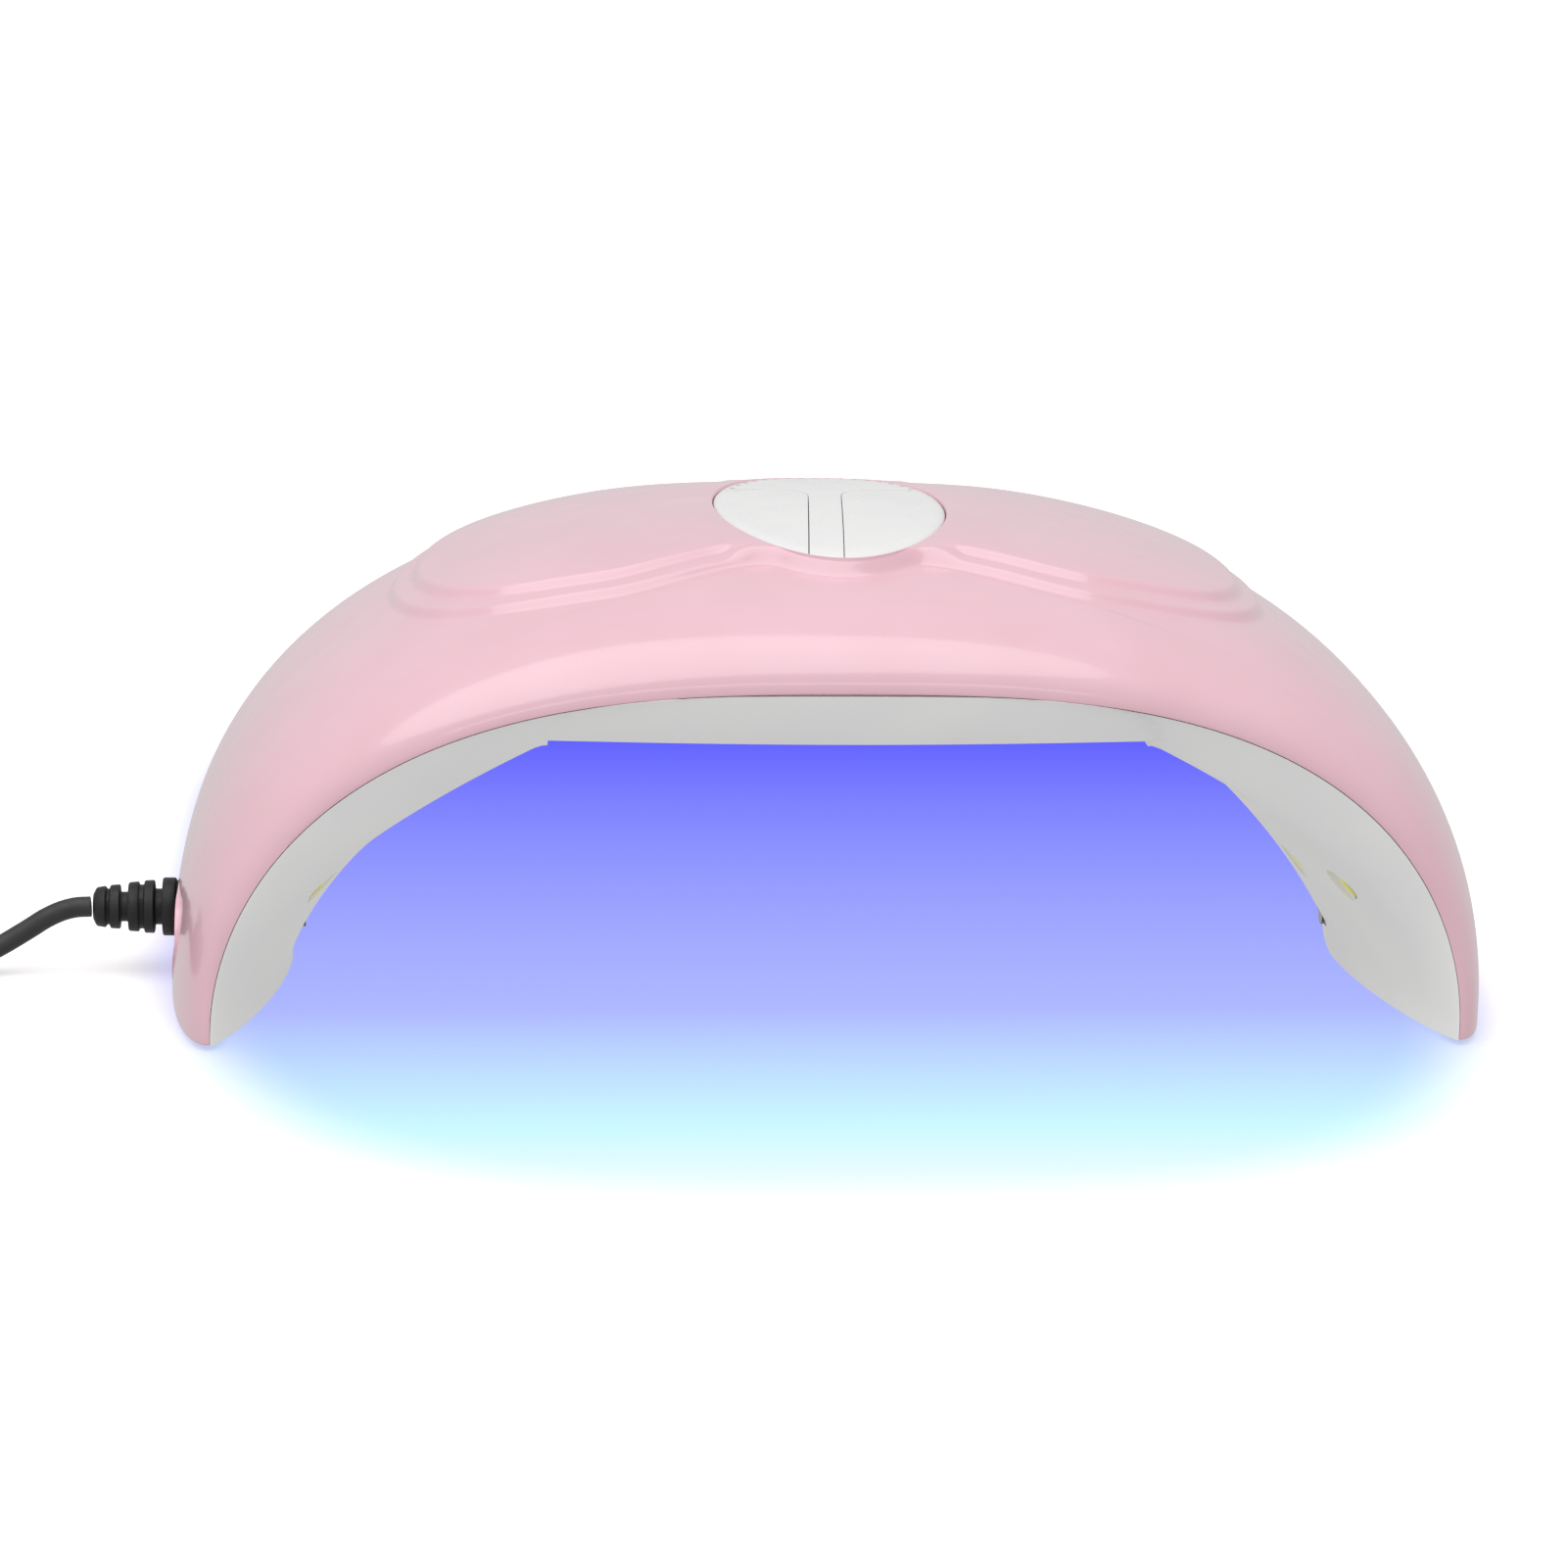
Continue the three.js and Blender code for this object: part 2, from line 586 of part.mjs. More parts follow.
// A screw that points up, with its head's underside at its origin.
function screw(headR, headHeight, shankR, length) {
  return turned(
    [[0, -headHeight], [headR * 0.7, -headHeight], [headR, -headHeight / 2], [headR, 0], [shankR, 0],
      [shankR, length - 1], [0, length]],
    12,
  );
}

const boardScrew = screw(2.3, 1.5, 1, 9);
const caseScrew = screw(CASE_SCREW.head, 1.2, CASE_SCREW.shank, CASE_SCREW.length);
const pad = bar(PAD.r, [0, 0, 0], [0, 0, PAD.h], 20);
for (const [label, side] of sides) {
  add(`board_screw_${label}`, boardScrew, STEEL, [side * BOARD.screwX, 0, boardBottom - GAP]);
  for (const [place, end] of [["front", -1], ["back", 1]]) {
    const headZ = BASE + CASE_SCREW.sunk - GAP;
    add(`case_screw_${place}_${label}`, caseScrew, STEEL, [side * CASE_SCREW.x, end * CASE_SCREW.y, headZ]);
    add(`foot_pad_${place}_${label}`, pad, RUBBER, [side * PAD.x, end * PAD.y, 0]);
  }
}

// LED boards: one flat strip behind each row of side beads, and a wide one on the ceiling.
for (const station of stations) {
  const holder = new THREE.Group();
  holder.position.copy(station.middle).addScaledVector(station.inward, -station.behind);
  holder.quaternion.setFromUnitVectors(new THREE.Vector3(0, 0, 1), station.inward);
  group.add(holder);
  const { thick, halfLength } = LED_BOARD;
  const half = station.height / 2;
  const plate = block([-half, -halfLength, -thick], [half, halfLength, 0]);
  add(`led_board_${station.name}`, plate, BOARD_WHITE, [0, 0, 0], holder);
}
const ceilingBoardZ = CEILING + CEILING_POCKET.depth + LINER_WALL + 0.6;
const ceilingBoard = block([-32, -28, 0], [32, 28, LED_BOARD.thick]);
add("led_board_ceiling", ceilingBoard, BOARD_WHITE, [0, 0, ceilingBoardZ]);
leds.forEach((led, place) => {
  const bead = add(`led_bead_${String(place + 1).padStart(2, "0")}`, beadGeometry(led.length), AMBER);
  bead.position.copy(led.front).addScaledVector(led.inward, -led.length);
  bead.quaternion.setFromUnitVectors(new THREE.Vector3(0, 0, 1), led.inward);
});

// The pair of infrared hand sensors that face each other low in the tunnel.
for (const [name, side] of [["ir_emitter", -1], ["ir_receiver", 1]]) {
  const body = bar(SENSOR.r, [0, 0, 0], [side * SENSOR.length, 0, 0], 12);
  add(name, body, DARK, [side * SENSOR.x, 0, SENSOR.z]);
}

// Barrel jack behind the left foot's pocket.
const jackBody = block([JACK.front, -JACK.half, -JACK.half], [JACK.back, JACK.half, JACK.half]);
const jackPin = bar(JACK.pin, [JACK.front + 0.5, 0, 0], [JACK.back - 1, 0, 0], 10);
const jack = without(
  solidOf(jackBody),
  bar(JACK.bore, [JACK.front - 1, 0, 0], [JACK.back - 1.5, 0, 0], 16),
).add(solidOf(jackPin));
add("dc_jack", jack, BLACK, [0, JACK.y, JACK.z]);

// Wires inside the housing, from the feet up to the control board.
const midway = (degrees, y) => {
  const angle = THREE.MathUtils.degToRad(degrees);
  const outer = shellPoint(angle, y / halfDepth(angle), WALL);
  const inner = linerPoint(angle, y / halfDepth(angle), LINER_WALL);
  return [outer.x * 0.65 + inner.x * 0.35, y, outer.z * 0.65 + inner.z * 0.35];
};
const jackLead = [
  [-93, -4, 15.8], [-93.6, -6, 19.5], midway(158, -9), midway(145, -11), midway(132, -11),
  midway(120, -11), [-30, -11, 57.5], [-26.5, -11, 58], [-26, -11, 60],
];
add("jack_lead", tube(jackLead, 1, 16, 6), RED);
for (const [label, side] of sides) {
  const angles = side > 0 ? [34, 45, 58] : [146, 135, 122];
  const lead = [
    midway(angles[0], 18), midway(angles[1], 16), midway(angles[2], 13),
    [side * 30, 11, 57.5], [side * 26.5, 11, 58], [side * 26, 11, 60],
  ];
  add(`led_lead_${label}`, tube(lead, 0.9, 10, 6), RED);
}

// ---- power lead, plugged in ----
const barrel = without(
  solidOf(bar(PLUG.r, [0, 0, 0], [PLUG.length, 0, 0], 16)),
  bar(PLUG.bore, [1, 0, 0], [PLUG.length + 1, 0, 0], 10),
);
add("dc_plug_barrel", barrel, STEEL, [BOOT_START + GAP, JACK.y, JACK.z]);
const boot = turned(BOOT_PROFILE, 16).rotateY(-Math.PI / 2);
add("dc_plug_boot", boot, BLACK, [BOOT_START, JACK.y, JACK.z]);
add("power_cord", tube(LEAD_POINTS, CORD_R, 14, 8), CORD_BLACK);
add("cord_coil", coilRing(), CORD_BLACK, [COIL.x, COIL.y, 0]);
add("coil_tie", coilTie(), BLACK, [COIL.x, COIL.y + COIL.middle, 0]).rotation.z = Math.PI / 2;
add("cord_tail", tube(TAIL_POINTS, CORD_R, 4, 8), CORD_BLACK);
add("usb_plug_body", usbBody(), BLACK, [USB.x, USB.y + 4, USB.bodyHeight / 2]);
add("usb_plug_shell", usbShell(), STEEL, [USB.x, USB.y + USB.bodyLength + GAP, USB.bodyHeight / 2]);

export default group;
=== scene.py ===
"""Arch-shaped UV LED nail lamp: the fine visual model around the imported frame, in metres."""

import math

import bmesh
import bpy
from mathutils import Matrix, Vector


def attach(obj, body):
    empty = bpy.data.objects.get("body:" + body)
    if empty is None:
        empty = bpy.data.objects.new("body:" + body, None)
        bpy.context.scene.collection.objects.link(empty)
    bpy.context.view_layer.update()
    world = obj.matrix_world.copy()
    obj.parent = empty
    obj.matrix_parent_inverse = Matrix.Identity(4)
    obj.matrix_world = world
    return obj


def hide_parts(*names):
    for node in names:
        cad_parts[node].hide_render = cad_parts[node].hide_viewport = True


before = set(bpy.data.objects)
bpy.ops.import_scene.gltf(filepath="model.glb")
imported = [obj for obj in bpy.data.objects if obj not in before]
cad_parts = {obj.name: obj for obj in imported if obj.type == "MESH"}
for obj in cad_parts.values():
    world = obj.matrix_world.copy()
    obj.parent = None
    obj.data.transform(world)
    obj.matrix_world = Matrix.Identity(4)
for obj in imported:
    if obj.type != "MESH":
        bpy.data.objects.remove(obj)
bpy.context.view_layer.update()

MM = 0.001
HALF_PI = math.pi / 2

# ---- driving dimensions, in millimetres, as in the CAD ----
GAP = 0.35
BASE = 1.0
SPRING = 2.5
WALL = 2.0
MID_ARCH = dict(a=105.0, h=72.54, n=2.42, m=2.28)
EDGE_ARCH = dict(a=97.36, h=56.59, n=2.91, m=1.89)
FOOT_DEPTH = 44.3
EXTRA_DEPTH = 9.34
BULGE_P = 2.28
BULGE_Q = 2.14
RAISE = 2.4
WING_LENGTH = 70.3
OVAL = (18.6, 30.4)
OVAL_LIP = 2.0
LINER_WALL = 1.6
RIM_GAP = 0.08
SEAM = 0.16  # seen gap round the buttons
THROAT = dict(a=86, h=61.8, n=1.75, m=1.3)
CEILING = 48.4
LIP_START = 0.84
POCKET_HALF_WIDTH = 46.0
POCKET_DEPTH = 1.4
STRIP = dict(width=5.2, lean=0.077, pivot_y=8)
FLARE_Y = 10.8
JACK = Vector((-101.7, -4.0, 11.0))
JACK_POCKET = dict(y=-4.0, z=10.3, width=44.0, height=11.6, corner=5.2, wall=1.7, outside=-103.5)
PLUG_HOLE = 5.2
FAR_OUT = 120.0  # beyond any side of the housing, for cutting tools
PRISM_LOW, PRISM_HIGH = 60.0, 90.0  # heights between which tools pass through the oval panel
CASE_SCREW = dict(x=98.3, y=30.0, head=2.2, head_height=1.2, shank=1.1, length=11.0, sunk=1.6)
CASE_BOSS = dict(r=3.3, bottom=4.4, top=18.0, hole=15.0, rib_top=12.0, rib_x=101.8)
BOARD_SCREW = dict(x=25.0, seat=60.15, head=2.3, head_height=1.5, shank=1.0, length=9.0)
BOARD_BOSS = dict(r=3.0, bottom=62.45, top=73.8, hole_r=1.35, hole=70.5)
FOOT_PLATE = dict(top=2.8, half_length=39.0)
FOOT_PAD = dict(x=95.0, y=17.0)
SWITCH = dict(x=9.0, y=-6.0)
BEZEL_PLATE = dict(a=21.0, b=32.0, bottom=68.6, top=70.1)
CORD_R = 1.7
COIL = dict(x=-172.0, y=8.0, middle=18.7, columns=4, layers=2)
HEM = 0.05  # arch angle that stands for the straight hem below the springing line


# ---- camera ----
def make_camera():
    """Eye level a little above the lamp, turned slightly to its left, with a small roll."""
    azimuth, elevation, roll = math.radians(-4.92), math.radians(15.48), math.radians(1.34)
    target = Vector((-6.16, 0, 30.45)) * MM
    distance = 0.7
    back = Vector((
        math.sin(azimuth) * math.cos(elevation),
        -math.cos(azimuth) * math.cos(elevation),
        math.sin(elevation),
    ))
    level = Vector((math.cos(azimuth), math.sin(azimuth), 0))
    upward = back.cross(level)
    right = level * math.cos(roll) + upward * math.sin(roll)
    above = back.cross(right)
    data = bpy.data.cameras.new("camera")
    data.sensor_width = 36
    data.lens = 98.53
    camera = bpy.data.objects.new("camera", data)
    turn = Matrix((right, above, back)).transposed().to_4x4()
    camera.matrix_world = Matrix.Translation(target + back * distance) @ turn
    bpy.context.scene.collection.objects.link(camera)
    bpy.context.scene.camera = camera


# ---- small tools ----
def link(name, mesh):
    piece = bpy.data.objects.new(name, mesh)
    bpy.context.scene.collection.objects.link(piece)
    return piece


def mesh_piece(name, points_mm, faces, smooth=True):
    """An object from points in millimetres, shaded smooth with its sharp edges kept."""
    mesh = bpy.data.meshes.new(name)
    mesh.from_pydata([Vector(point) * MM for point in points_mm], [], faces)
    mesh.validate()
    if smooth:
        finish_shading(mesh)
    return link(name, mesh)


def finish_shading(mesh, angle=35):
    mesh.shade_smooth()
    mesh.set_sharp_from_angle(angle=math.radians(angle))


def recalculated(piece):
    """Faces turned outwards after the doubles are merged."""
    shape = bmesh.new()
    shape.from_mesh(piece.data)
    bmesh.ops.remove_doubles(shape, verts=shape.verts, dist=1e-6)
    bmesh.ops.recalc_face_normals(shape, faces=shape.faces)
    shape.to_mesh(piece.data)
    shape.free()
    return piece


def applied(piece):
    """The piece with its modifiers made into plain mesh."""
    graph = bpy.context.evaluated_depsgraph_get()
    mesh = bpy.data.meshes.new_from_object(piece.evaluated_get(graph))
    piece.modifiers.clear()
    old = piece.data
    piece.data = mesh
    bpy.data.meshes.remove(old)
    return piece


def boolean(piece, tool, operation="DIFFERENCE", keep_tool=False):
    modifier = piece.modifiers.new("cut", "BOOLEAN")
    modifier.operation = operation
    modifier.solver = "MANIFOLD"
    modifier.object = tool
    applied(piece)
    if not keep_tool:
        bpy.data.objects.remove(tool)
    return piece


def bevelled(piece, width_mm, segments=2, angle=35):
    modifier = piece.modifiers.new("edges", "BEVEL")
    modifier.width = width_mm * MM
    modifier.segments = segments
    modifier.limit_method = "ANGLE"
    modifier.angle_limit = math.radians(angle)
    modifier.harden_normals = False
    return applied(piece)


def joined(name, pieces):
    """Several pieces as one object."""
    shape = bmesh.new()
    for piece in pieces:
        shape.from_mesh(piece.data)
        bpy.data.objects.remove(piece)
    mesh = bpy.data.meshes.new(name)
    shape.to_mesh(mesh)
    shape.free()
    return link(name, mesh)


def ring_faces(rings, count, first=0):
    """Quads between closed rings of the same number of points, laid one after another."""
    faces = []
    for ring in range(rings - 1):
        low = first + ring * count
        for i in range(count):
            j = (i + 1) % count
            faces.append((low + i, low + j, low + count + j, low + count + i))
    return faces


def lathe(name, profile, sides=48, axis=Vector((0, 0, 1)), origin=Vector((0, 0, 0))):
    """A closed turned solid from (radius, height) pairs that start and end on the axis, in mm."""
    turn = Vector((0, 0, 1)).rotation_difference(axis).to_matrix()
    body = profile[1:-1]
    points = []
    for radius, height in body:
        for i in range(sides):
            angle = 2 * math.pi * i / sides
            local = Vector((radius * math.cos(angle), radius * math.sin(angle), height))
            points.append(turn @ local + origin)
    faces = ring_faces(len(body), sides)
    bottom, top = len(points), len(points) + 1
    points += [turn @ Vector((0, 0, profile[0][1])) + origin]
    points += [turn @ Vector((0, 0, profile[-1][1])) + origin]
    last = (len(body) - 1) * sides
    for i in range(sides):
        j = (i + 1) % sides
        faces.append((bottom, j, i))
        faces.append((last + i, last + j, top))
    return recalculated(mesh_piece(name, points, faces, smooth=False))


def bar(name, radius, start, end, sides=32):
    along = Vector(end) - Vector(start)
    profile = [(0, 0), (radius, 0), (radius, along.length), (0, along.length)]
    return lathe(name, profile, sides, along.normalized(), Vector(start))


def block(name, low, high):
    shape = bmesh.new()
    bmesh.ops.create_cube(shape, size=1)
    middle = (Vector(low) + Vector(high)) / 2
    size = Vector(high) - Vector(low)
    for corner in shape.verts:
        corner.co = Vector((corner.co[i] * size[i] + middle[i] for i in range(3))) * MM
    mesh = bpy.data.meshes.new(name)
    shape.to_mesh(mesh)
    shape.free()
    return link(name, mesh)


def prism(name, outline, low, high):
    """A straight solid over an outline of (x, y) pairs, in mm."""
    count = len(outline)
    points = [(x, y, z) for z in (low, high) for x, y in outline]
    faces = ring_faces(2, count) + [tuple(reversed(range(count))), tuple(range(count, 2 * count))]
    return recalculated(mesh_piece(name, points, faces, smooth=False))


def smoothstep(value, low, high):
    share = min(max((value - low) / (high - low), 0.0), 1.0)
    return share * share * (3 - 2 * share)


def power(value, exponent):
    return math.copysign(abs(value) ** exponent, value)


# ---- the two curved skins ----
def arch_point(angle, arch, grow):
    """(x, z) on a flattened arch; angles past its ends run down the straight hem."""
    hem = max(0.0, -angle, angle - math.pi)
    turn = min(max(angle, 0.0), math.pi)
    x = (arch["a"] + grow) * power(math.cos(turn), 2 / arch["n"])
    z = SPRING + (arch["h"] + grow) * abs(math.sin(turn)) ** (2 / arch["m"])
    return x, z - hem * (SPRING - BASE) / HEM


def half_depth(angle):
    return FOOT_DEPTH + EXTRA_DEPTH * math.sin(min(max(angle, 0.0), math.pi)) ** 2


def shell_point(angle, sweep, inset=0.0):
    """Outer shell at an arch angle and a sweep from -90 degrees, front edge, to 90, back edge."""
    edge = arch_point(angle, EDGE_ARCH, 0)
    middle = arch_point(angle, MID_ARCH, -inset)
    share = power(math.sin(sweep), 2 / BULGE_P)
    swell = abs(math.cos(sweep)) ** (2 / BULGE_Q)
    return Vector((
        edge[0] + (middle[0] - edge[0]) * swell,
        (half_depth(angle) - inset) * share,
        edge[1] + (middle[1] - edge[1]) * swell,
    ))


def liner_point(angle, share, offset):
    """Tunnel skin of the liner, moved out by offset."""
    edge = arch_point(angle, EDGE_ARCH, -RIM_GAP)
    throat = arch_point(angle, THROAT, offset)
    at_foot = (1 - abs(share) ** 1.6) ** 0.8
    flare = max(0.0, (abs(share) - LIP_START) / (1 - LIP_START)) ** 1.6
    crown = min(1.0, 1.25 * math.sin(min(max(angle, 0.0), math.pi)) ** 2)
    swell = at_foot + (1 - flare - at_foot) * crown
    edge_top = SPRING + EDGE_ARCH["h"] - GAP
    ceiling = CEILING + offset + (edge_top - CEILING) * flare
    return Vector((
        edge[0] + (throat[0] - edge[0]) * swell,
        (half_depth(angle) - offset) * share,
        min(edge[1] + (throat[1] - edge[1]) * swell, ceiling),
    ))


# ---- outer shell ----
RING_COUNT_OUT = 34  # rings from the pads' outline down to the rim
RIM_RADIUS = 0.45
LEDGE = 1.2  # height of the pads' lower step
PAD_ROOM = 5.6  # width taken by the two steps


def wing_half_depth(x):
    widen = smoothstep(x, 10, 38)
    return (27 + 8 * widen) * math.sqrt(max(0.0, 1 - (x / WING_LENGTH) ** 6))


def ellipse_radius(heading, a, b):
    return 1 / math.hypot(math.cos(heading) / a, math.sin(heading) / b)


def outline_point(heading):
    """Plan point of the raised pads' outer edge, where wings and oval lip run into each other."""
    lip = ellipse_radius(heading, OVAL[0] + OVAL_LIP, OVAL[1] + OVAL_LIP)
    low, high = 20.0, WING_LENGTH + 1
    for _ in range(30):
        radius = (low + high) / 2
        inside = abs(radius * math.sin(heading)) < wing_half_depth(abs(radius * math.cos(heading)))
        low, high = (radius, high) if inside else (low, radius)
    softness = 1.2
    radius = math.log(math.exp(softness * lip) + math.exp(softness * low)) / softness
    return Vector((radius * math.cos(heading), radius * math.sin(heading)))


def outline_normal(heading):
    step = 0.006
    along = outline_point(heading + step) - outline_point(heading - step)
    return Vector((along.y, -along.x)).normalized()


def find_angles(x, y, inset):
    """Arch angle and sweep of the shell's point over a plan position."""
    low, high = 0.15, math.pi - 0.15
    for _ in range(32):
        angle = (low + high) / 2
        share = min(max(y / (half_depth(angle) - inset), -1.0), 1.0)
        sweep = math.asin(power(share, BULGE_P / 2))
        if shell_point(angle, sweep, inset).x > x:
            low = angle
        else:
            high = angle
    return angle, sweep


def rim_stations():
    """(u, sweep) round the shell's rim: u is the arch angle measured from the crown."""
    side, long = 48, 144
    end = HALF_PI + HEM
    stations = [(end, HALF_PI * i / side) for i in range(side)]
    stations += [(end - 2 * end * i / long, HALF_PI) for i in range(long)]
    stations += [(-end, HALF_PI - math.pi * i / (2 * side)) for i in range(2 * side)]
    stations += [(-end + 2 * end * i / long, -HALF_PI) for i in range(long)]
    stations += [(end, -HALF_PI + HALF_PI * i / side) for i in range(side)]
    return stations


def pad_raise(depth, room):
    """Height over the shell at a depth inside the outline: two steps, or one beside the oval."""
    double = LEDGE * smoothstep(depth, -0.3, 1.1) + (RAISE - LEDGE) * smoothstep(depth, 3.3, 4.9)
    single = RAISE * smoothstep(depth, -0.3, 1.9)
    share = smoothstep(room, 4, 9)
    return single + (double - single) * share


def corner(start, turn, end, share):
    """Point on the rounded corner from start to end that bends at turn."""
    return start * (1 - share) ** 2 + turn * 2 * share * (1 - share) + end * share ** 2


def shell_ray(u, rim_sweep):
    """One line of shell points: out from the oval's edge to the rim, then back inside."""
    heading = math.atan2(rim_sweep, u)
    outline = outline_point(heading)
    normal = outline_normal(heading)
    edge_radius = ellipse_radius(heading, *OVAL)
    direction = Vector((math.cos(heading), math.sin(heading)))
    edge = direction * edge_radius
    soft_edge = direction * (edge_radius + 0.5)
    room = (outline - soft_edge).length
    squeeze = min(1.0, room / (PAD_ROOM + 0.8))

    def over(plan, height):
        return shell_point(*find_angles(plan.x, plan.y, -height), -height)

    inner_pad = outline - normal * PAD_ROOM * squeeze
    line = []
    top = over(edge, RAISE)
    below = Vector((top.x, top.y, top.z - 0.5))
    beside = over(soft_edge, RAISE)
    line += [below, corner(below, top, beside, 0.33), corner(below, top, beside, 0.67), beside]
    for i in range(1, 8):
        line.append(over(soft_edge.lerp(inner_pad, i / 8), RAISE))
    steps = 20
    for i in range(steps, -1, -1):
        depth = (-0.9 + (PAD_ROOM + 0.9) * i / steps) * squeeze
        line.append(over(outline - normal * depth, pad_raise(depth, room)))
    foot = outline + normal * 0.9 * squeeze
    start_angle, start_sweep = find_angles(foot.x, foot.y, 0)
    rim_angle = HALF_PI - u
    for i in range(1, RING_COUNT_OUT):
        share = i / (RING_COUNT_OUT + 0.5)
        angle = start_angle + (rim_angle - start_angle) * share
        line.append(shell_point(angle, start_sweep + (rim_sweep - start_sweep) * share))
    rim = shell_point(rim_angle, rim_sweep)
    inner_rim = shell_point(rim_angle, rim_sweep, WALL)
    start = rim + (line[-1] - rim).normalized() * RIM_RADIUS
    end = rim + (inner_rim - rim).normalized() * RIM_RADIUS
    line += [corner(start, rim, end, i / 4) for i in range(5)]
    inner_rings = 14
    for i in range(inner_rings):
        share = 1 - i / inner_rings
        angle = start_angle + (rim_angle - start_angle) * share
        sweep = start_sweep + (rim_sweep - start_sweep) * share
        line.append(shell_point(angle, sweep, WALL))
    for i in range(5):
        plan = foot.lerp(edge, i / 4)
        line.append(shell_point(*find_angles(plan.x, plan.y, WALL), WALL))
    return line


def rounded_box_outline(width, height, radius, steps=8):
    points = []
    for quarter, (sx, sy) in enumerate([(1, 1), (-1, 1), (-1, -1), (1, -1)]):
        for i in range(steps + 1):
            angle = HALF_PI * (quarter + i / steps)
            points.append((
                sx * (width / 2 - radius) + radius * math.cos(angle),
                sy * (height / 2 - radius) + radius * math.sin(angle),
            ))
    return points


def pocket_tool(grow, low, high, draft=0.0):
    """Rounded block across the plug pocket, opening out by draft towards its outer face."""
    width = JACK_POCKET["width"] + 2 * grow
    height = JACK_POCKET["height"] + 2 * grow
    round_off = JACK_POCKET["corner"] + grow
    inner = rounded_box_outline(width, height, round_off)
    outer = rounded_box_outline(width + 2 * draft, height + 2 * draft, round_off + draft)
    centre_y, centre_z = JACK_POCKET["y"], JACK_POCKET["z"]
    points = [(low, centre_y + y, centre_z + z) for y, z in outer]
    points += [(high, centre_y + y, centre_z + z) for y, z in inner]
    count = len(inner)
    faces = ring_faces(2, count) + [tuple(range(count)), tuple(range(2 * count - 1, count - 1, -1))]
    return recalculated(mesh_piece("pocket_tool", points, faces, smooth=False))


def upper_shell():
    lines = [shell_ray(u, sweep) for u, sweep in rim_stations()]
    rings = len(lines[0])
    points = [line[ring] for ring in range(rings) for line in lines]
    faces = ring_faces(rings, len(lines))
    last = (rings - 1) * len(lines)
    for i in range(len(lines)):
        j = (i + 1) % len(lines)
        faces.append((last + i, last + j, j, i))
    shell = recalculated(mesh_piece("shell_cover", points, faces, smooth=False))
    wall = JACK_POCKET["wall"]
    boolean(shell, pocket_tool(wall, JACK_POCKET["outside"], JACK.x + wall), "UNION")
    for side in (-1, 1):
        boss, x = BOARD_BOSS, side * BOARD_SCREW["x"]
        boolean(shell, bar("post", boss["r"], (x, 0, boss["bottom"]), (x, 0, boss["top"])), "UNION")
        boolean(shell, bar("hole", boss["hole_r"], (x, 0, boss["bottom"] - 1), (x, 0, boss["hole"])))
        for end in (-1, 1):
            boss, x, y = CASE_BOSS, side * CASE_SCREW["x"], end * CASE_SCREW["y"]
            inner, outer = sorted((x, side * boss["rib_x"]))
            boolean(shell, bar("post", boss["r"], (x, y, boss["bottom"]), (x, y, boss["top"])), "UNION")
            rib = block("rib", (inner, y - 1, boss["bottom"]), (outer, y + 1, boss["rib_top"]))
            boolean(shell, rib, "UNION")
            boolean(shell, bar("hole", CASE_SCREW["shank"] + GAP, (x, y, 0), (x, y, boss["hole"])))
    boolean(shell, pocket_tool(0, -FAR_OUT, JACK.x, draft=0.6))
    hole_start, hole_end = (-FAR_OUT, JACK.y, JACK.z), (-95, JACK.y, JACK.z)
    boolean(shell, bar("hole", PLUG_HOLE, hole_start, hole_end, 64))
    finish_shading(shell.data)
    return shell


# ---- tunnel liner ----
LINER_COLUMNS = 200
LINER_ROWS = 72


def grid_wall(name, outer, inner):
    """Closed wall between two grids of points with the same rows and columns."""
    rows, columns = len(outer), len(outer[0])
    points = [point for row in outer for point in row] + [point for row in inner for point in row]

    def at(side, row, column):
        return (side * rows + row) * columns + column

    faces = []
    for side in (0, 1):
        for i in range(rows - 1):
            for j in range(columns - 1):
                corners = (at(side, i, j), at(side, i, j + 1), at(side, i + 1, j + 1), at(side, i + 1, j))
                faces.append(corners)
    for j in range(columns - 1):
        for i in (0, rows - 1):
            faces.append((at(0, i, j), at(0, i, j + 1), at(1, i, j + 1), at(1, i, j)))
    for i in range(rows - 1):
        for j in (0, columns - 1):
            faces.append((at(0, i, j), at(0, i + 1, j), at(1, i + 1, j), at(1, i, j)))
    return recalculated(mesh_piece(name, points, faces, smooth=False))


def liner_grid(offset):
    angles = [-HEM] + [math.pi * i / LINER_COLUMNS for i in range(LINER_COLUMNS + 1)] + [math.pi + HEM]
    shares = [math.sin(math.pi * (j / LINER_ROWS - 0.5)) for j in range(LINER_ROWS + 1)]
    return [[liner_point(angle, share, offset) for share in shares] for angle in angles]


# ---- UV beads ----
LED_RADIUS = 2.5
LED_ROWS = (-30, -10, 10, 30)
LED_CEILING_X = 22
SENSOR_X = 83.8
SENSOR_Z = 8
SENSOR_RADIUS = 1.6
SIDE_LEDS = (dict(angle=26.1, behind=8.2), dict(angle=43.2, behind=6))


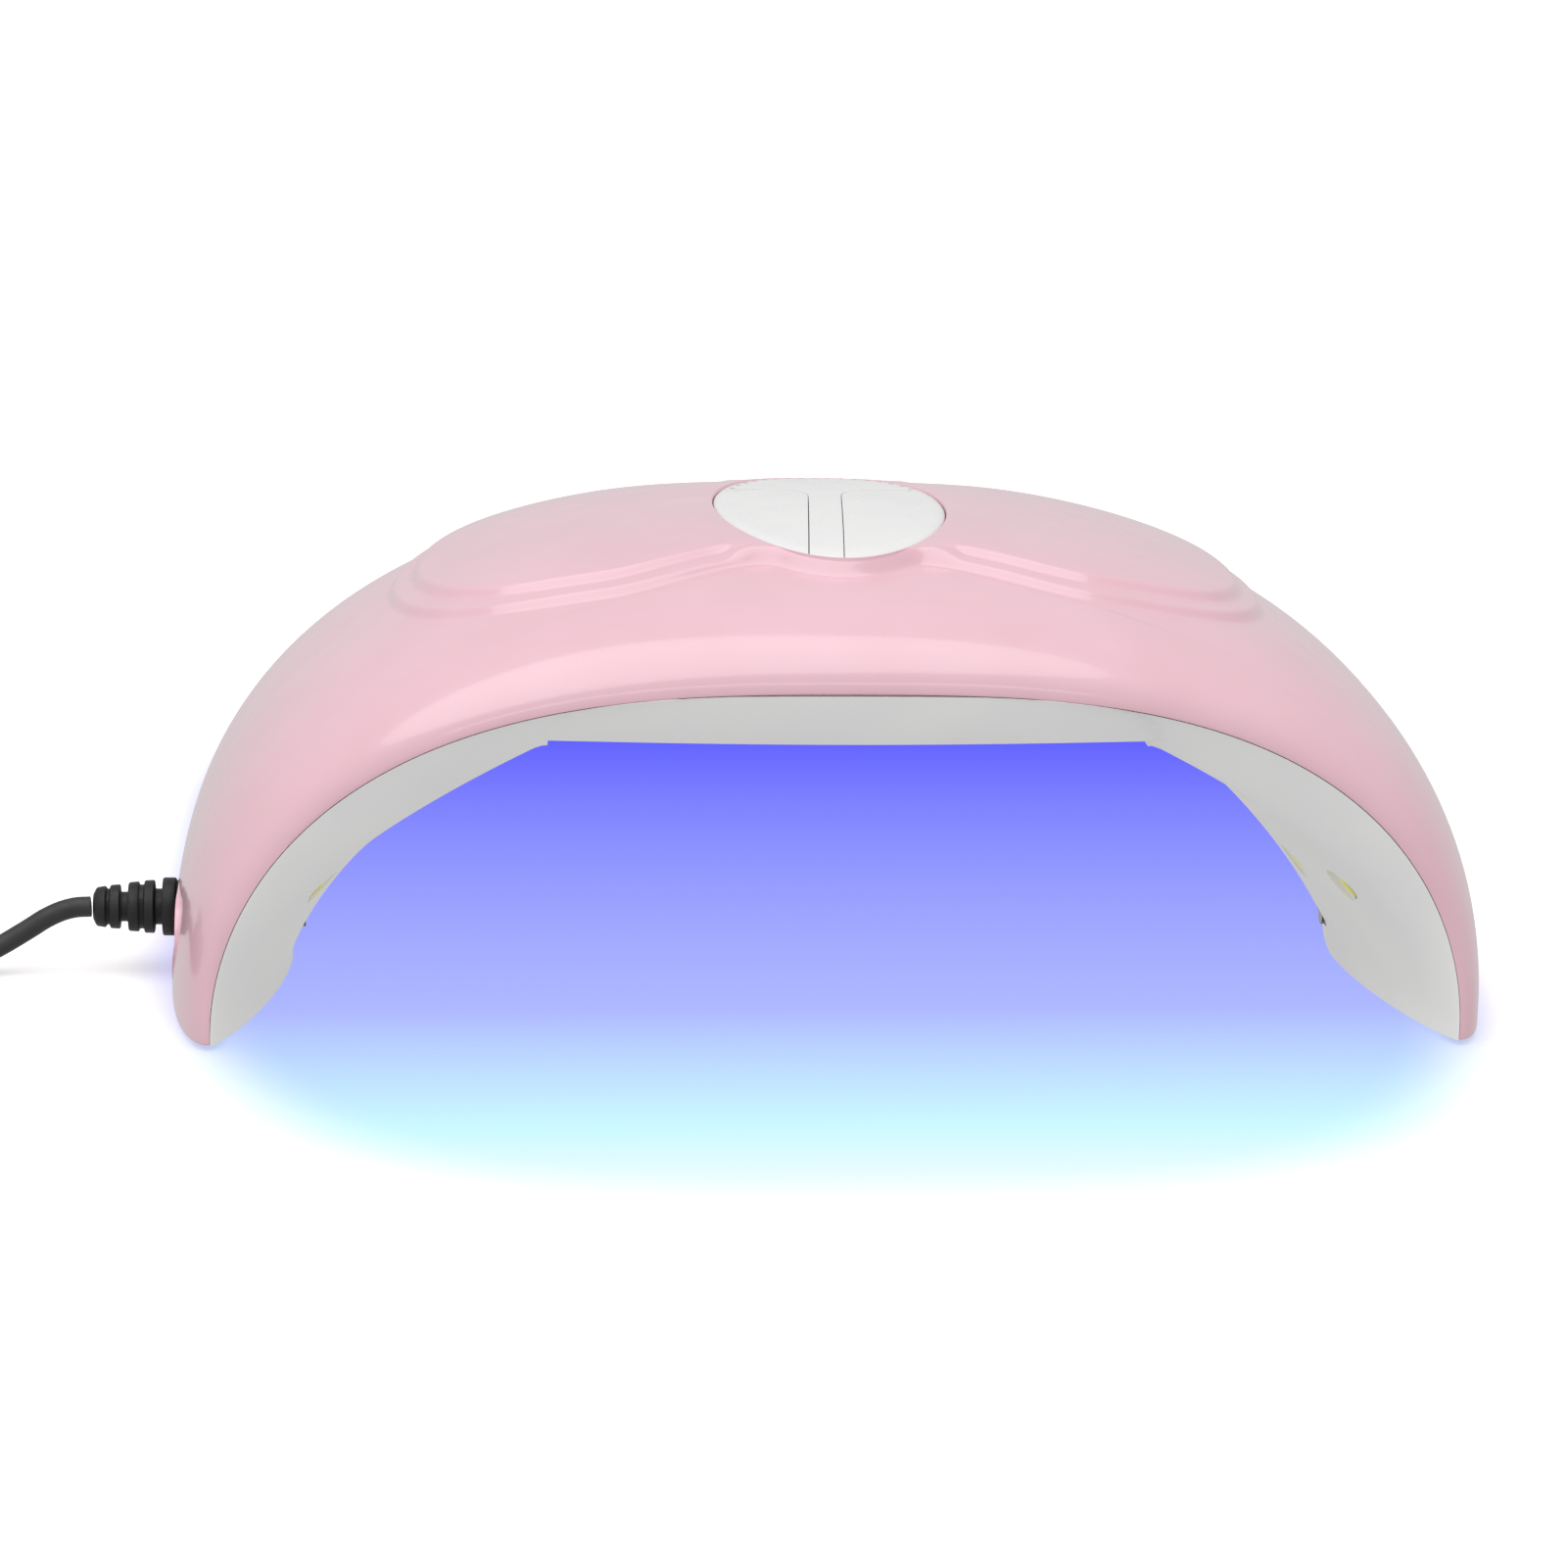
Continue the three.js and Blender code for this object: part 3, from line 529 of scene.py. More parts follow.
def bead_stations():
    """Each bead's surface point, direction into the tunnel, and body length."""
    stations = []
    for side in (-1, 1):
        for row in SIDE_LEDS:
            angle = math.radians(row["angle"])
            angle = angle if side > 0 else math.pi - angle
            step = 0.02
            along = liner_point(angle + step, 0, 0) - liner_point(angle - step, 0, 0)
            inward = Vector((-along.z, 0, along.x)).normalized()
            middle = liner_point(angle, 0, 0)
            if inward.dot(middle) > 0:
                inward.negate()
            for y in LED_ROWS:
                surface = liner_point(angle, y / half_depth(angle), 0)
                fall_back = (middle - surface).dot(inward)
                stations.append((surface, inward, row["behind"] - fall_back - GAP))
    for x in (-LED_CEILING_X, LED_CEILING_X):
        surface = Vector((x, 0, CEILING + POCKET_DEPTH))
        stations.append((surface, Vector((0, 0, -1)), LINER_WALL + 0.6 - GAP))
    return stations


def inner_liner(stations):
    liner = grid_wall("tunnel_liner", liner_grid(LINER_WALL), liner_grid(0))
    top = CEILING + POCKET_DEPTH
    half_x, half_y = POCKET_HALF_WIDTH + 2, 42
    slab = block("slab", (-half_x, -half_y, CEILING + 0.4), (half_x, half_y, top + LINER_WALL))
    boolean(liner, slab, "UNION")
    recess_low = (-POCKET_HALF_WIDTH, -FAR_OUT, 40)
    boolean(liner, block("ceiling_pocket", recess_low, (POCKET_HALF_WIDTH, FAR_OUT, top)))
    dishes = []
    for surface, inward, _ in stations:
        hole = LED_RADIUS + GAP
        depth, flare = 0.35, 0.7
        profile = [
            (0, -7), (hole, -7), (hole, -depth), (hole + flare, 0.05), (hole + flare, 2), (0, 2),
        ]
        dishes.append(lathe("dish", profile, 40, inward, surface))
    boolean(liner, joined("dishes", dishes))
    for side in (-1, 1):
        plate = foot_plate(side)
        boolean(liner, plate, "UNION")
        for end in (-1, 1):
            x, y = side * CASE_SCREW["x"], end * CASE_SCREW["y"]
            well_top = (x, y, BASE + CASE_SCREW["sunk"])
            boolean(liner, bar("boss", 3, (x, y, BASE), (x, y, 4)), "UNION")
            boolean(liner, bar("well", CASE_SCREW["head"] + GAP, (x, y, 0), well_top))
            boolean(liner, bar("hole", CASE_SCREW["shank"] + GAP, (x, y, 0), (x, y, 8)))
        x = side * SENSOR_X
        window_ends = (x - 8, 0, SENSOR_Z), (x + 8, 0, SENSOR_Z)
        boolean(liner, bar("window", SENSOR_RADIUS + GAP, *window_ends))
    finish_shading(liner.data)
    return liner


def foot_plate(side):
    """Closes the space between the liner and the shell along one side's bottom edge."""
    half_length, inside, outside = FOOT_PLATE["half_length"], [], []
    foot = 0 if side > 0 else math.pi
    steps = 24
    for i in range(steps + 1):
        y = half_length * (2 * i / steps - 1)
        share = y / FOOT_DEPTH
        sweep = math.asin(power(share, BULGE_P / 2))
        inside.append((liner_point(foot, share, LINER_WALL / 2).x, y))
        outside.append((shell_point(foot, sweep, WALL).x - side * GAP, y))
    return prism("foot_plate", inside + outside[::-1], BASE, FOOT_PLATE["top"])


# ---- time buttons and their bezel ----
PANEL = (OVAL[0] - SEAM, OVAL[1] - SEAM)
BUTTON_BOTTOM = 71


def panel_top(x, y):
    return shell_point(*find_angles(x, y, -RAISE), -RAISE)


def panel_cap(name, bottom):
    """The whole white oval: crowned like the shell, with a soft rounded edge."""
    rays, rings = 192, [i / 16 for i in range(1, 15)] + [0.9, 0.925, 0.95, 0.965, 0.98, 0.99, 1.0]
    points = [panel_top(0, 0)]
    for share in rings:
        for i in range(rays):
            heading = 2 * math.pi * i / rays
            x = PANEL[0] * share * math.cos(heading)
            y = PANEL[1] * share * math.sin(heading)
            point = panel_top(x, y)
            edge = max(0.0, 1 - (1 - share) / 0.1)
            point.z -= 0.7 * (1 - math.sqrt(1 - 0.98 * edge ** 2))
            points.append(point)
    base = len(points)
    for i in range(rays):
        heading = 2 * math.pi * i / rays
        points.append((PANEL[0] * math.cos(heading), PANEL[1] * math.sin(heading), bottom))
    faces = [(0, 1 + i, 1 + (i + 1) % rays) for i in range(rays)]
    faces += ring_faces(len(rings) + 1, rays, first=1)
    faces.append(tuple(range(base, base + rays)))
    return recalculated(mesh_piece(name, points, faces, smooth=False))


def button_outline(side, a, b, strip_x, flare_y):
    """Oval lobe whose inner edge runs beside the slanting strip and flares out at the back."""
    def slant(y):
        return side * STRIP["lean"] * (y - STRIP["pivot_y"])

    start, end, steps = -math.acos((strip_x + slant(-b)) / a), math.asin(flare_y / b), 60
    points = []
    for i in range(steps + 1):
        heading = start + (end - start) * i / steps
        points.append(Vector((a * math.cos(heading), b * math.sin(heading))))
    bend = Vector((strip_x + 0.6, flare_y + 3))
    inner_end = Vector((strip_x + slant(flare_y - 6), flare_y - 6))
    points += [corner(points[steps], bend, inner_end, i / 16) for i in range(1, 17)]
    return [(side * point.x, point.y) for point in points]


def timer_button(label, side):
    button = panel_cap(f"touch_key_{label}", BUTTON_BOTTOM)
    outline = button_outline(side, PANEL[0] + 1, PANEL[1] + 1, STRIP["width"] / 2 + SEAM, FLARE_Y)
    boolean(button, prism("lobe", outline, PRISM_LOW, PRISM_HIGH), "INTERSECT")
    bevelled(button, 0.14)
    x, y = side * SWITCH["x"], SWITCH["y"]
    stem = bar("stem", 1.7, (x, y, 68), (x, y, BUTTON_BOTTOM + 1))
    boolean(button, stem, "UNION")
    finish_shading(button.data)
    return button


def button_bezel():
    bezel = panel_cap("key_surround", 69.5)
    for side in (-1, 1):
        outline = button_outline(side, OVAL[0] + 3, OVAL[1] + 3, STRIP["width"] / 2, FLARE_Y + SEAM)
        boolean(bezel, prism("lobe", outline, PRISM_LOW, PRISM_HIGH))
    bevelled(bezel, 0.14)
    a, b, bottom, top = (BEZEL_PLATE[key] for key in ("a", "b", "bottom", "top"))
    headings = [2 * math.pi * i / 96 for i in range(96)]
    plate_outline = [(a * math.cos(heading), b * math.sin(heading)) for heading in headings]
    boolean(bezel, prism("plate", plate_outline, bottom, top), "UNION")
    for side in (-1, 1):
        x, y = side * SWITCH["x"], SWITCH["y"]
        boolean(bezel, bar("hole", 2.2, (x, y, bottom - 1.6), (x, y, top + 0.9)))
    finish_shading(bezel.data)
    return bezel


# ---- repeated parts, by Geometry Nodes ----
def new_tree(name, inputs):
    """Geometry node group with a geometry input, named size inputs and a geometry output."""
    tree = bpy.data.node_groups.new(name, "GeometryNodeTree")
    tree.interface.new_socket("Geometry", in_out="INPUT", socket_type="NodeSocketGeometry")
    for label, kind in inputs:
        tree.interface.new_socket(label, in_out="INPUT", socket_type=f"NodeSocket{kind}")
    tree.interface.new_socket("Geometry", in_out="OUTPUT", socket_type="NodeSocketGeometry")
    return tree, tree.nodes.new("NodeGroupInput"), tree.nodes.new("NodeGroupOutput")


def node(tree, kind, links=None, **settings):
    """A node with its properties set and its inputs linked or given values by socket name."""
    made = tree.nodes.new(kind)
    for key, value in settings.items():
        setattr(made, key, value)
    for socket, source in (links or {}).items():
        if isinstance(source, bpy.types.NodeSocket):
            tree.links.new(source, made.inputs[socket])
        else:
            made.inputs[socket].default_value = source
    return made


def facing_points(name, stations):
    """Loose points with the direction each part faces and its body length, in metres."""
    mesh = bpy.data.meshes.new(name)
    mesh.from_pydata([Vector(place) * MM for place, _, _ in stations], [], [])
    mesh.attributes.new("facing", "FLOAT_VECTOR", "POINT")
    mesh.attributes.new("length", "FLOAT", "POINT")
    for i, (_, direction, reach) in enumerate(stations):
        mesh.attributes["facing"].data[i].vector = direction
        mesh.attributes["length"].data[i].value = reach * MM
    return link(name, mesh)


def grown(piece, tree, values):
    """The points turned into plain mesh by a node tree with these input values."""
    modifier = piece.modifiers.new("grow", "NODES")
    modifier.node_group = tree
    for item in tree.interface.items_tree:
        if item.in_out == "INPUT" and item.name in values:
            modifier[item.identifier] = values[item.name]
    return applied(piece)


def point_value(tree, name, kind):
    """Output of a named attribute of the points."""
    reader = node(tree, "GeometryNodeInputNamedAttribute", {"Name": name}, data_type=kind)
    return next(socket for socket in reader.outputs if socket.enabled and socket.name == "Attribute")


def placed(tree, group_in, part, scale=None):
    """Instances of a part on the input points, each turned to its facing direction."""
    facing = point_value(tree, "facing", "FLOAT_VECTOR")
    turn = node(tree, "FunctionNodeAlignRotationToVector", {"Vector": facing}, axis="Z")
    links = {
        "Points": group_in.outputs["Geometry"],
        "Instance": part,
        "Rotation": turn.outputs["Rotation"],
    }
    if scale is not None:
        links["Scale"] = scale
    return node(tree, "GeometryNodeInstanceOnPoints", links).outputs["Instances"]


def painted(tree, geometry, material_socket):
    links = {"Geometry": geometry, "Material": material_socket}
    return node(tree, "GeometryNodeSetMaterial", links).outputs["Geometry"]


def smooth(tree, geometry):
    links = {"Geometry": geometry, "Shade Smooth": True}
    return node(tree, "GeometryNodeSetShadeSmooth", links).outputs["Geometry"]


def bead_tree():
    """A ceramic body as long as its point says, under a shallow lens."""
    tree, group_in, group_out = new_tree("uv_bead", [
        ("Body Radius", "Float"), ("Lens Radius", "Float"), ("Lens Height", "Float"),
        ("Body Finish", "Material"), ("Lens Finish", "Material"),
    ])
    body = node(tree, "GeometryNodeMeshCylinder", {
        "Vertices": 40, "Radius": group_in.outputs["Body Radius"], "Depth": 1.0,
    })
    lowered = node(tree, "GeometryNodeTransform", {
        "Geometry": body.outputs["Mesh"], "Translation": (0, 0, -0.5),
    })
    reach = point_value(tree, "length", "FLOAT")
    stretch = node(tree, "ShaderNodeCombineXYZ", {"X": 1.0, "Y": 1.0, "Z": reach})
    bodies = placed(tree, group_in, lowered.outputs["Geometry"], stretch.outputs["Vector"])
    lens = node(tree, "GeometryNodeMeshUVSphere", {"Segments": 40, "Rings": 20, "Radius": 1.0})
    size = node(tree, "ShaderNodeCombineXYZ", {
        "X": group_in.outputs["Lens Radius"],
        "Y": group_in.outputs["Lens Radius"],
        "Z": group_in.outputs["Lens Height"],
    })
    flat = node(tree, "GeometryNodeTransform", {
        "Geometry": lens.outputs["Mesh"], "Scale": size.outputs["Vector"],
    })
    lenses = placed(tree, group_in, flat.outputs["Geometry"])
    together = tree.nodes.new("GeometryNodeJoinGeometry")
    real_bodies = node(tree, "GeometryNodeRealizeInstances", {"Geometry": bodies}).outputs["Geometry"]
    real_lenses = node(tree, "GeometryNodeRealizeInstances", {"Geometry": lenses}).outputs["Geometry"]
    finished = [
        painted(tree, real_bodies, group_in.outputs["Body Finish"]),
        painted(tree, smooth(tree, real_lenses), group_in.outputs["Lens Finish"]),
    ]
    for geometry in finished:
        tree.links.new(geometry, together.inputs["Geometry"])
    tree.links.new(together.outputs["Geometry"], group_out.inputs["Geometry"])
    return tree


def screw_tree():
    """A pan head with a crossed recess on a threaded-size shank; the head faces its direction."""
    tree, group_in, group_out = new_tree("cross_screw", [
        ("Head Radius", "Float"), ("Head Height", "Float"), ("Shank Radius", "Float"),
        ("Recess Width", "Float"), ("Finish", "Material"),
    ])
    head = node(tree, "GeometryNodeMeshCone", {
        "Vertices": 40, "Radius Bottom": group_in.outputs["Head Radius"],
        "Depth": group_in.outputs["Head Height"],
    })
    slim = node(tree, "ShaderNodeMath", {0: group_in.outputs["Head Radius"], 1: 0.75}, operation="MULTIPLY")
    tree.links.new(slim.outputs[0], head.inputs["Radius Top"])
    arm = node(tree, "ShaderNodeMath", {0: group_in.outputs["Head Radius"], 1: 1.1}, operation="MULTIPLY")
    bars = []
    for order in (("X", "Y"), ("Y", "X")):
        size = node(tree, "ShaderNodeCombineXYZ", {
            order[0]: arm.outputs[0],
            order[1]: group_in.outputs["Recess Width"],
            "Z": group_in.outputs["Head Height"],
        })
        bar_node = node(tree, "GeometryNodeMeshCube", {"Size": size.outputs["Vector"]})
        bars.append(bar_node.outputs["Mesh"])
    lift = node(tree, "ShaderNodeCombineXYZ", {"Z": group_in.outputs["Head Height"]})
    cut = node(
        tree, "GeometryNodeMeshBoolean", {"Mesh 1": head.outputs["Mesh"]},
        operation="DIFFERENCE", solver="MANIFOLD",
    )
    for mesh in bars:
        raised = node(tree, "GeometryNodeTransform", {
            "Geometry": mesh, "Translation": lift.outputs["Vector"],
        })
        tree.links.new(raised.outputs["Geometry"], cut.inputs["Mesh 2"])
    heads = placed(tree, group_in, cut.outputs["Mesh"])
    shank = node(tree, "GeometryNodeMeshCylinder", {
        "Vertices": 24, "Radius": group_in.outputs["Shank Radius"], "Depth": 1.0,
    })
    lowered = node(tree, "GeometryNodeTransform", {
        "Geometry": shank.outputs["Mesh"], "Translation": (0, 0, -0.5),
    })
    reach = point_value(tree, "length", "FLOAT")
    stretch = node(tree, "ShaderNodeCombineXYZ", {"X": 1.0, "Y": 1.0, "Z": reach})
    shanks = placed(tree, group_in, lowered.outputs["Geometry"], stretch.outputs["Vector"])
    together = tree.nodes.new("GeometryNodeJoinGeometry")
    tree.links.new(heads, together.inputs["Geometry"])
    tree.links.new(shanks, together.inputs["Geometry"])
    real = node(tree, "GeometryNodeRealizeInstances", {"Geometry": together.outputs["Geometry"]})
    finished = painted(tree, real.outputs["Geometry"], group_in.outputs["Finish"])
    tree.links.new(finished, group_out.inputs["Geometry"])
    return tree


def dot_tree():
    """A low round pip on each point."""
    tree, group_in, group_out = new_tree("rim_dot", [
        ("Radius", "Float"), ("Height", "Float"), ("Finish", "Material"),
    ])
    ball = node(tree, "GeometryNodeMeshUVSphere", {"Segments": 14, "Rings": 8, "Radius": 1.0})
    size = node(tree, "ShaderNodeCombineXYZ", {
        "X": group_in.outputs["Radius"], "Y": group_in.outputs["Radius"], "Z": group_in.outputs["Height"],
    })
    flat = node(tree, "GeometryNodeTransform", {
        "Geometry": ball.outputs["Mesh"], "Scale": size.outputs["Vector"],
    })
    dots = placed(tree, group_in, flat.outputs["Geometry"])
    real = node(tree, "GeometryNodeRealizeInstances", {"Geometry": dots}).outputs["Geometry"]
    finished = painted(tree, smooth(tree, real), group_in.outputs["Finish"])
    tree.links.new(finished, group_out.inputs["Geometry"])
    return tree


def uv_beads(stations, body_finish, lens_finish):
    shoulder = 0.6
    seats = [
        (surface - inward * shoulder, inward, length - shoulder)
        for surface, inward, length in stations
    ]
    values = {
        "Body Radius": LED_RADIUS * MM, "Lens Radius": 2.4 * MM, "Lens Height": shoulder * MM,
        "Body Finish": body_finish, "Lens Finish": lens_finish,
    }
    return grown(facing_points("uv_beads", seats), bead_tree(), values)


def screws(name, places, size, finish):
    """Screws that point up, each with its head's underside at its place."""
    down = Vector((0, 0, -1))
    values = {
        "Head Radius": size["head"] * MM, "Head Height": size["head_height"] * MM,
        "Shank Radius": size["shank"] * MM, "Recess Width": 0.5 * MM, "Finish": finish,
    }
    seats = [(place, down, size["length"]) for place in places]
    return grown(facing_points(name, seats), screw_tree(), values)


def rim_dots(finish):
    """Pips along the back of the oval's rim."""
    count = 17
    seats = []
    for i in range(count):
        heading = math.radians(28 + 124 * i / (count - 1))
        x = (PANEL[0] - 1.9) * math.cos(heading)
        y = (PANEL[1] - 2.6) * math.sin(heading)
        step = 0.2
        across = panel_top(x + step, y) - panel_top(x - step, y)
        along = panel_top(x, y + step) - panel_top(x, y - step)
        seats.append((panel_top(x, y), across.cross(along).normalized(), 0))
    values = {"Radius": 0.42 * MM, "Height": 0.07 * MM, "Finish": finish}
    return grown(facing_points("rim_dots", seats), dot_tree(), values)


def foot_pads():
    profile = [
        (0, 0.12), (2.6, 0.12), (2.8, 0), (4.2, 0), (4.45, 0.2), (4.5, 0.55), (4.4, 0.68), (0, 0.7),
    ]
    pads = []
    for x in (-FOOT_PAD["x"], FOOT_PAD["x"]):
        for y in (-FOOT_PAD["y"], FOOT_PAD["y"]):
            pads.append(lathe("pad", profile, 48, origin=Vector((x, y, 0))))
    pads = joined("foot_pads", pads)
    finish_shading(pads.data)
    return pads


# ---- power lead ----
LEAD_POINTS = [
    (-118.2, -4, 11), (-121, -4, 10.8), (-124.5, -4.2, 9.6), (-128.5, -4.6, 7.2), (-133, -5.2, 4.6),
    (-138, -6.8, 2.5), (-143, -9.6, 1.85), (-148, -12.8, 1.72), (-153, -15.1, 1.7), (-157.4, -15.8, 1.7),
]
TAIL_POINTS = [
    (-196.2, 23, 5.1), (-196.2, 25, 4.9), (-196, 27.5, 4.4), (-195.8, 31.4, 4),
]
BOOT_START = -102
BOOT_PROFILE = [
    (0, 0), (4.2, 0), (4.2, 2.2), (4.3, 2.4), (4.55, 2.5), (4.7, 2.7), (4.7, 4.4), (4.55, 4.6),
    (3.0, 4.7), (2.9, 4.9), (2.9, 5.7), (3.1, 5.9), (4.1, 5.95), (4.3, 6.1), (4.25, 7.4), (4.1, 7.55),
    (3.6, 7.65), (3.55, 8.0), (3.6, 8.35), (3.95, 8.45), (4.05, 8.6), (3.95, 9.9), (3.8, 10.1),
    (2.5, 10.2), (2.4, 10.4), (2.4, 11.2), (2.55, 11.4), (3.45, 11.45), (3.6, 11.6), (3.5, 12.9),
    (3.35, 13.05), (2.9, 13.2), (2.9, 13.5), (3.2, 13.7), (3.35, 13.85), (3.15, 15.1), (2.9, 15.35),
    (2.1, 15.75), (0, 15.8),
]
USB_X = -195.8
USB_BODY_START = 36
USB_BODY_LENGTH = 20
USB_MIDDLE_Z = 4
USB_SLEEVE_START = 56.35


def cord_route():
    """Points from the boot to the plug: the lead, two layers of coil turns, and the tail."""
    route = [Vector(point) for point in LEAD_POINTS]
    pitch = 2 * CORD_R
    columns, layers = COIL["columns"], COIL["layers"]
    outside = COIL["middle"] + pitch * (columns - 1) / 2
    turns = []
    for layer in range(layers):
        order = range(columns) if layer % 2 == 0 else reversed(range(columns))
        turns += [(outside - pitch * column, CORD_R + pitch * layer) for column in order]
    steps, shift_from = 24, 5 / 6
    total = steps * len(turns) + steps // 4
    for i in range(total + 1):
        turn, share = divmod(i / steps, 1)
        here = turns[min(int(turn), len(turns) - 1)]
        there = turns[min(int(turn) + 1, len(turns) - 1)]
        blend = smoothstep(share, shift_from, 1.0)
        radius = here[0] + (there[0] - here[0]) * blend
        height = here[1] + (there[1] - here[1]) * blend
        angle = -HALF_PI - 2 * math.pi * i / steps
        route.append(Vector((
            COIL["x"] + radius * math.cos(angle),
            COIL["y"] + radius * math.sin(angle),
            height,
        )))
    return route + [Vector(point) for point in TAIL_POINTS]


def power_cord(route):
    data = bpy.data.curves.new("flexible_lead", "CURVE")
    data.dimensions = "3D"
    data.bevel_depth = CORD_R * MM
    data.bevel_resolution = 4
    data.resolution_u = 4
    data.use_fill_caps = True
    spline = data.splines.new("BEZIER")
    spline.bezier_points.add(len(route) - 1)
    for bezier_point, place in zip(spline.bezier_points, route):
        bezier_point.co = place * MM
        bezier_point.handle_left_type = "AUTO"
        bezier_point.handle_right_type = "AUTO"
    cord = bpy.data.objects.new("flexible_lead", data)
    bpy.context.scene.collection.objects.link(cord)
    return cord


def plug_boot():
    """Ribbed strain relief with staggered slots between its ribs."""
    origin = Vector((BOOT_START, JACK.y, JACK.z))
    boot = lathe("ribbed_boot", BOOT_PROFILE, 72, Vector((-1, 0, 0)), origin)
    for reach, width, clear in ((8.0, 0.8, 2.9), (13.35, 0.7, 2.3)):
        x = BOOT_START - reach
        for side in (-1, 1):
            near, far = JACK.y + side * clear, JACK.y + side * 6
            low = (x - width / 2, min(near, far), JACK.z - 2.6)
            high = (x + width / 2, max(near, far), JACK.z + 2.6)
            boolean(boot, block("slot", low, high))
    finish_shading(boot.data, 40)
    return boot


def turned_outline(outline, low, high, middle_z):
    """A prism along +Y over an outline of (x, z) pairs."""
    count = len(outline)
    points = [(USB_X + x, y, middle_z + z) for y in (low, high) for x, z in outline]
    faces = ring_faces(2, count) + [tuple(range(count)), tuple(range(2 * count - 1, count - 1, -1))]
    return recalculated(mesh_piece("prism", points, faces, smooth=False))


def usb_body():
    """Moulded grip with finger grooves and a round neck for the lead."""
    body = turned_outline(
        rounded_box_outline(15, 8, 2.4), USB_BODY_START, USB_BODY_START + USB_BODY_LENGTH, USB_MIDDLE_Z,
    )
    bevelled(body, 0.7, segments=4, angle=50)
    neck_profile = [(0, -0.2), (2.3, -0.2), (2.6, 0.2), (3.0, 4.2), (3.0, 5), (0, 5)]
    neck = lathe("neck", neck_profile, 48, Vector((0, 1, 0)), Vector((USB_X, 32.2, USB_MIDDLE_Z)))
    boolean(body, neck, "UNION")
    for i in range(5):
        y = USB_BODY_START + 5 + 2.4 * i
        for side in (-1, 1):
            x = USB_X + side * 7.5
            boolean(body, bar("groove", 0.55, (x, y, USB_MIDDLE_Z - 5), (x, y, USB_MIDDLE_Z + 5), 20))
    body.name = "lead_plug_grip"
    finish_shading(body.data)
    return body


def usb_sleeve():
    """Folded metal sleeve with two square windows and the tongue inside it."""
    width, height, length, sheet = 12, 4.5, 12, 0.5
    start = USB_SLEEVE_START
    sleeve = turned_outline(rounded_box_outline(width, height, 0.5, 4), start, start + length, USB_MIDDLE_Z)
    inner_outline = rounded_box_outline(width - 2 * sheet, height - 2 * sheet, 0.2, 2)
    boolean(sleeve, turned_outline(inner_outline, start + 1, start + length + 1, USB_MIDDLE_Z))
    for side in (-1, 1):
        x = USB_X + side * 2.8
        low = (x - 1.25, start + 4.2, USB_MIDDLE_Z + 1.9)
        high = (x + 1.25, start + 6.5, USB_MIDDLE_Z + 3)
        boolean(sleeve, block("window", low, high))
    tongue_low = (USB_X - width / 2 + 1, start + 0.5, USB_MIDDLE_Z + 0.2)
    tongue_high = (USB_X + width / 2 - 1, start + length - 1, USB_MIDDLE_Z + 1.7)
    boolean(sleeve, block("tongue", tongue_low, tongue_high), "UNION")
    bevelled(sleeve, 0.08, segments=1, angle=60)
    sleeve.name = "lead_plug_sleeve"
    finish_shading(sleeve.data)
    return sleeve


def coil_tie():
    """Flat band that stands over the coil, with rounded shoulders."""
    half = COIL["columns"] * CORD_R + 0.6
    top = COIL["layers"] * 2 * CORD_R + 0.7
    thick, shoulder = 0.8, 0.8
    outside = [(half + thick, 0), (half + thick, top)]
    outside += [
        (half + thick * math.cos(HALF_PI * i / 8), top + shoulder * math.sin(HALF_PI * i / 8))
        for i in range(1, 9)
    ]
    inside = [(half, top), (half, 0)]
    right = outside[:]
    left = [(-y, z) for y, z in reversed(outside)]
    outline = right + left + [(-y, z) for y, z in reversed(inside)] + inside
    x, y0 = COIL["x"], COIL["y"] + COIL["middle"]
    count = len(outline)
    points = [(x + dx, y0 + y, z) for dx in (-1.5, 1.5) for y, z in outline]
    faces = ring_faces(2, count) + [tuple(range(count)), tuple(range(2 * count - 1, count - 1, -1))]
    tie = recalculated(mesh_piece("coil_band", points, faces, smooth=False))
    bevelled(tie, 0.2, segments=2, angle=50)
    finish_shading(tie.data)
    return tie


# ---- finishes ----
def colour(red, green, blue):
    """Display colour, 0 to 255, as a linear shader colour."""
    def linear(value):
        value /= 255
        return value / 12.92 if value <= 0.04045 else ((value + 0.055) / 1.055) ** 2.4

    return (linear(red), linear(green), linear(blue), 1)


def new_finish(name, **shader_values):
    """A material with its shader's plain values set, and its object coordinates."""
    finish = bpy.data.materials.new(name)
    finish.use_nodes = True
    tree = finish.node_tree
    shader = tree.nodes["Principled BSDF"]
    for label, value in shader_values.items():
        shader.inputs[label.replace("_", " ")].default_value = value
    coordinates = tree.nodes.new("ShaderNodeTexCoord").outputs["Object"]
    return finish, tree, shader, coordinates


def noise(tree, coordinates, scale, detail=2.0, stretch=None):
    if stretch is not None:
        mapping = node(tree, "ShaderNodeMapping", {"Vector": coordinates, "Scale": stretch})
        coordinates = mapping.outputs["Vector"]
    links = {"Vector": coordinates, "Scale": scale, "Detail": detail}
    return node(tree, "ShaderNodeTexNoise", links).outputs["Fac"]


def spread(tree, value, low, high, from_low=0.3, from_high=0.7):
    """A noise value stretched over a range."""
    links = {"Value": value, "From Min": from_low, "From Max": from_high, "To Min": low, "To Max": high}
    return node(tree, "ShaderNodeMapRange", links).outputs["Result"]


def mixed(tree, factor, first, second):
    mix = node(tree, "ShaderNodeMix", {"Factor": factor}, data_type="RGBA")
    for place, value in ((6, first), (7, second)):
        if isinstance(value, bpy.types.NodeSocket):
            tree.links.new(value, mix.inputs[place])
        else:
            mix.inputs[place].default_value = value
    return mix.outputs[2]


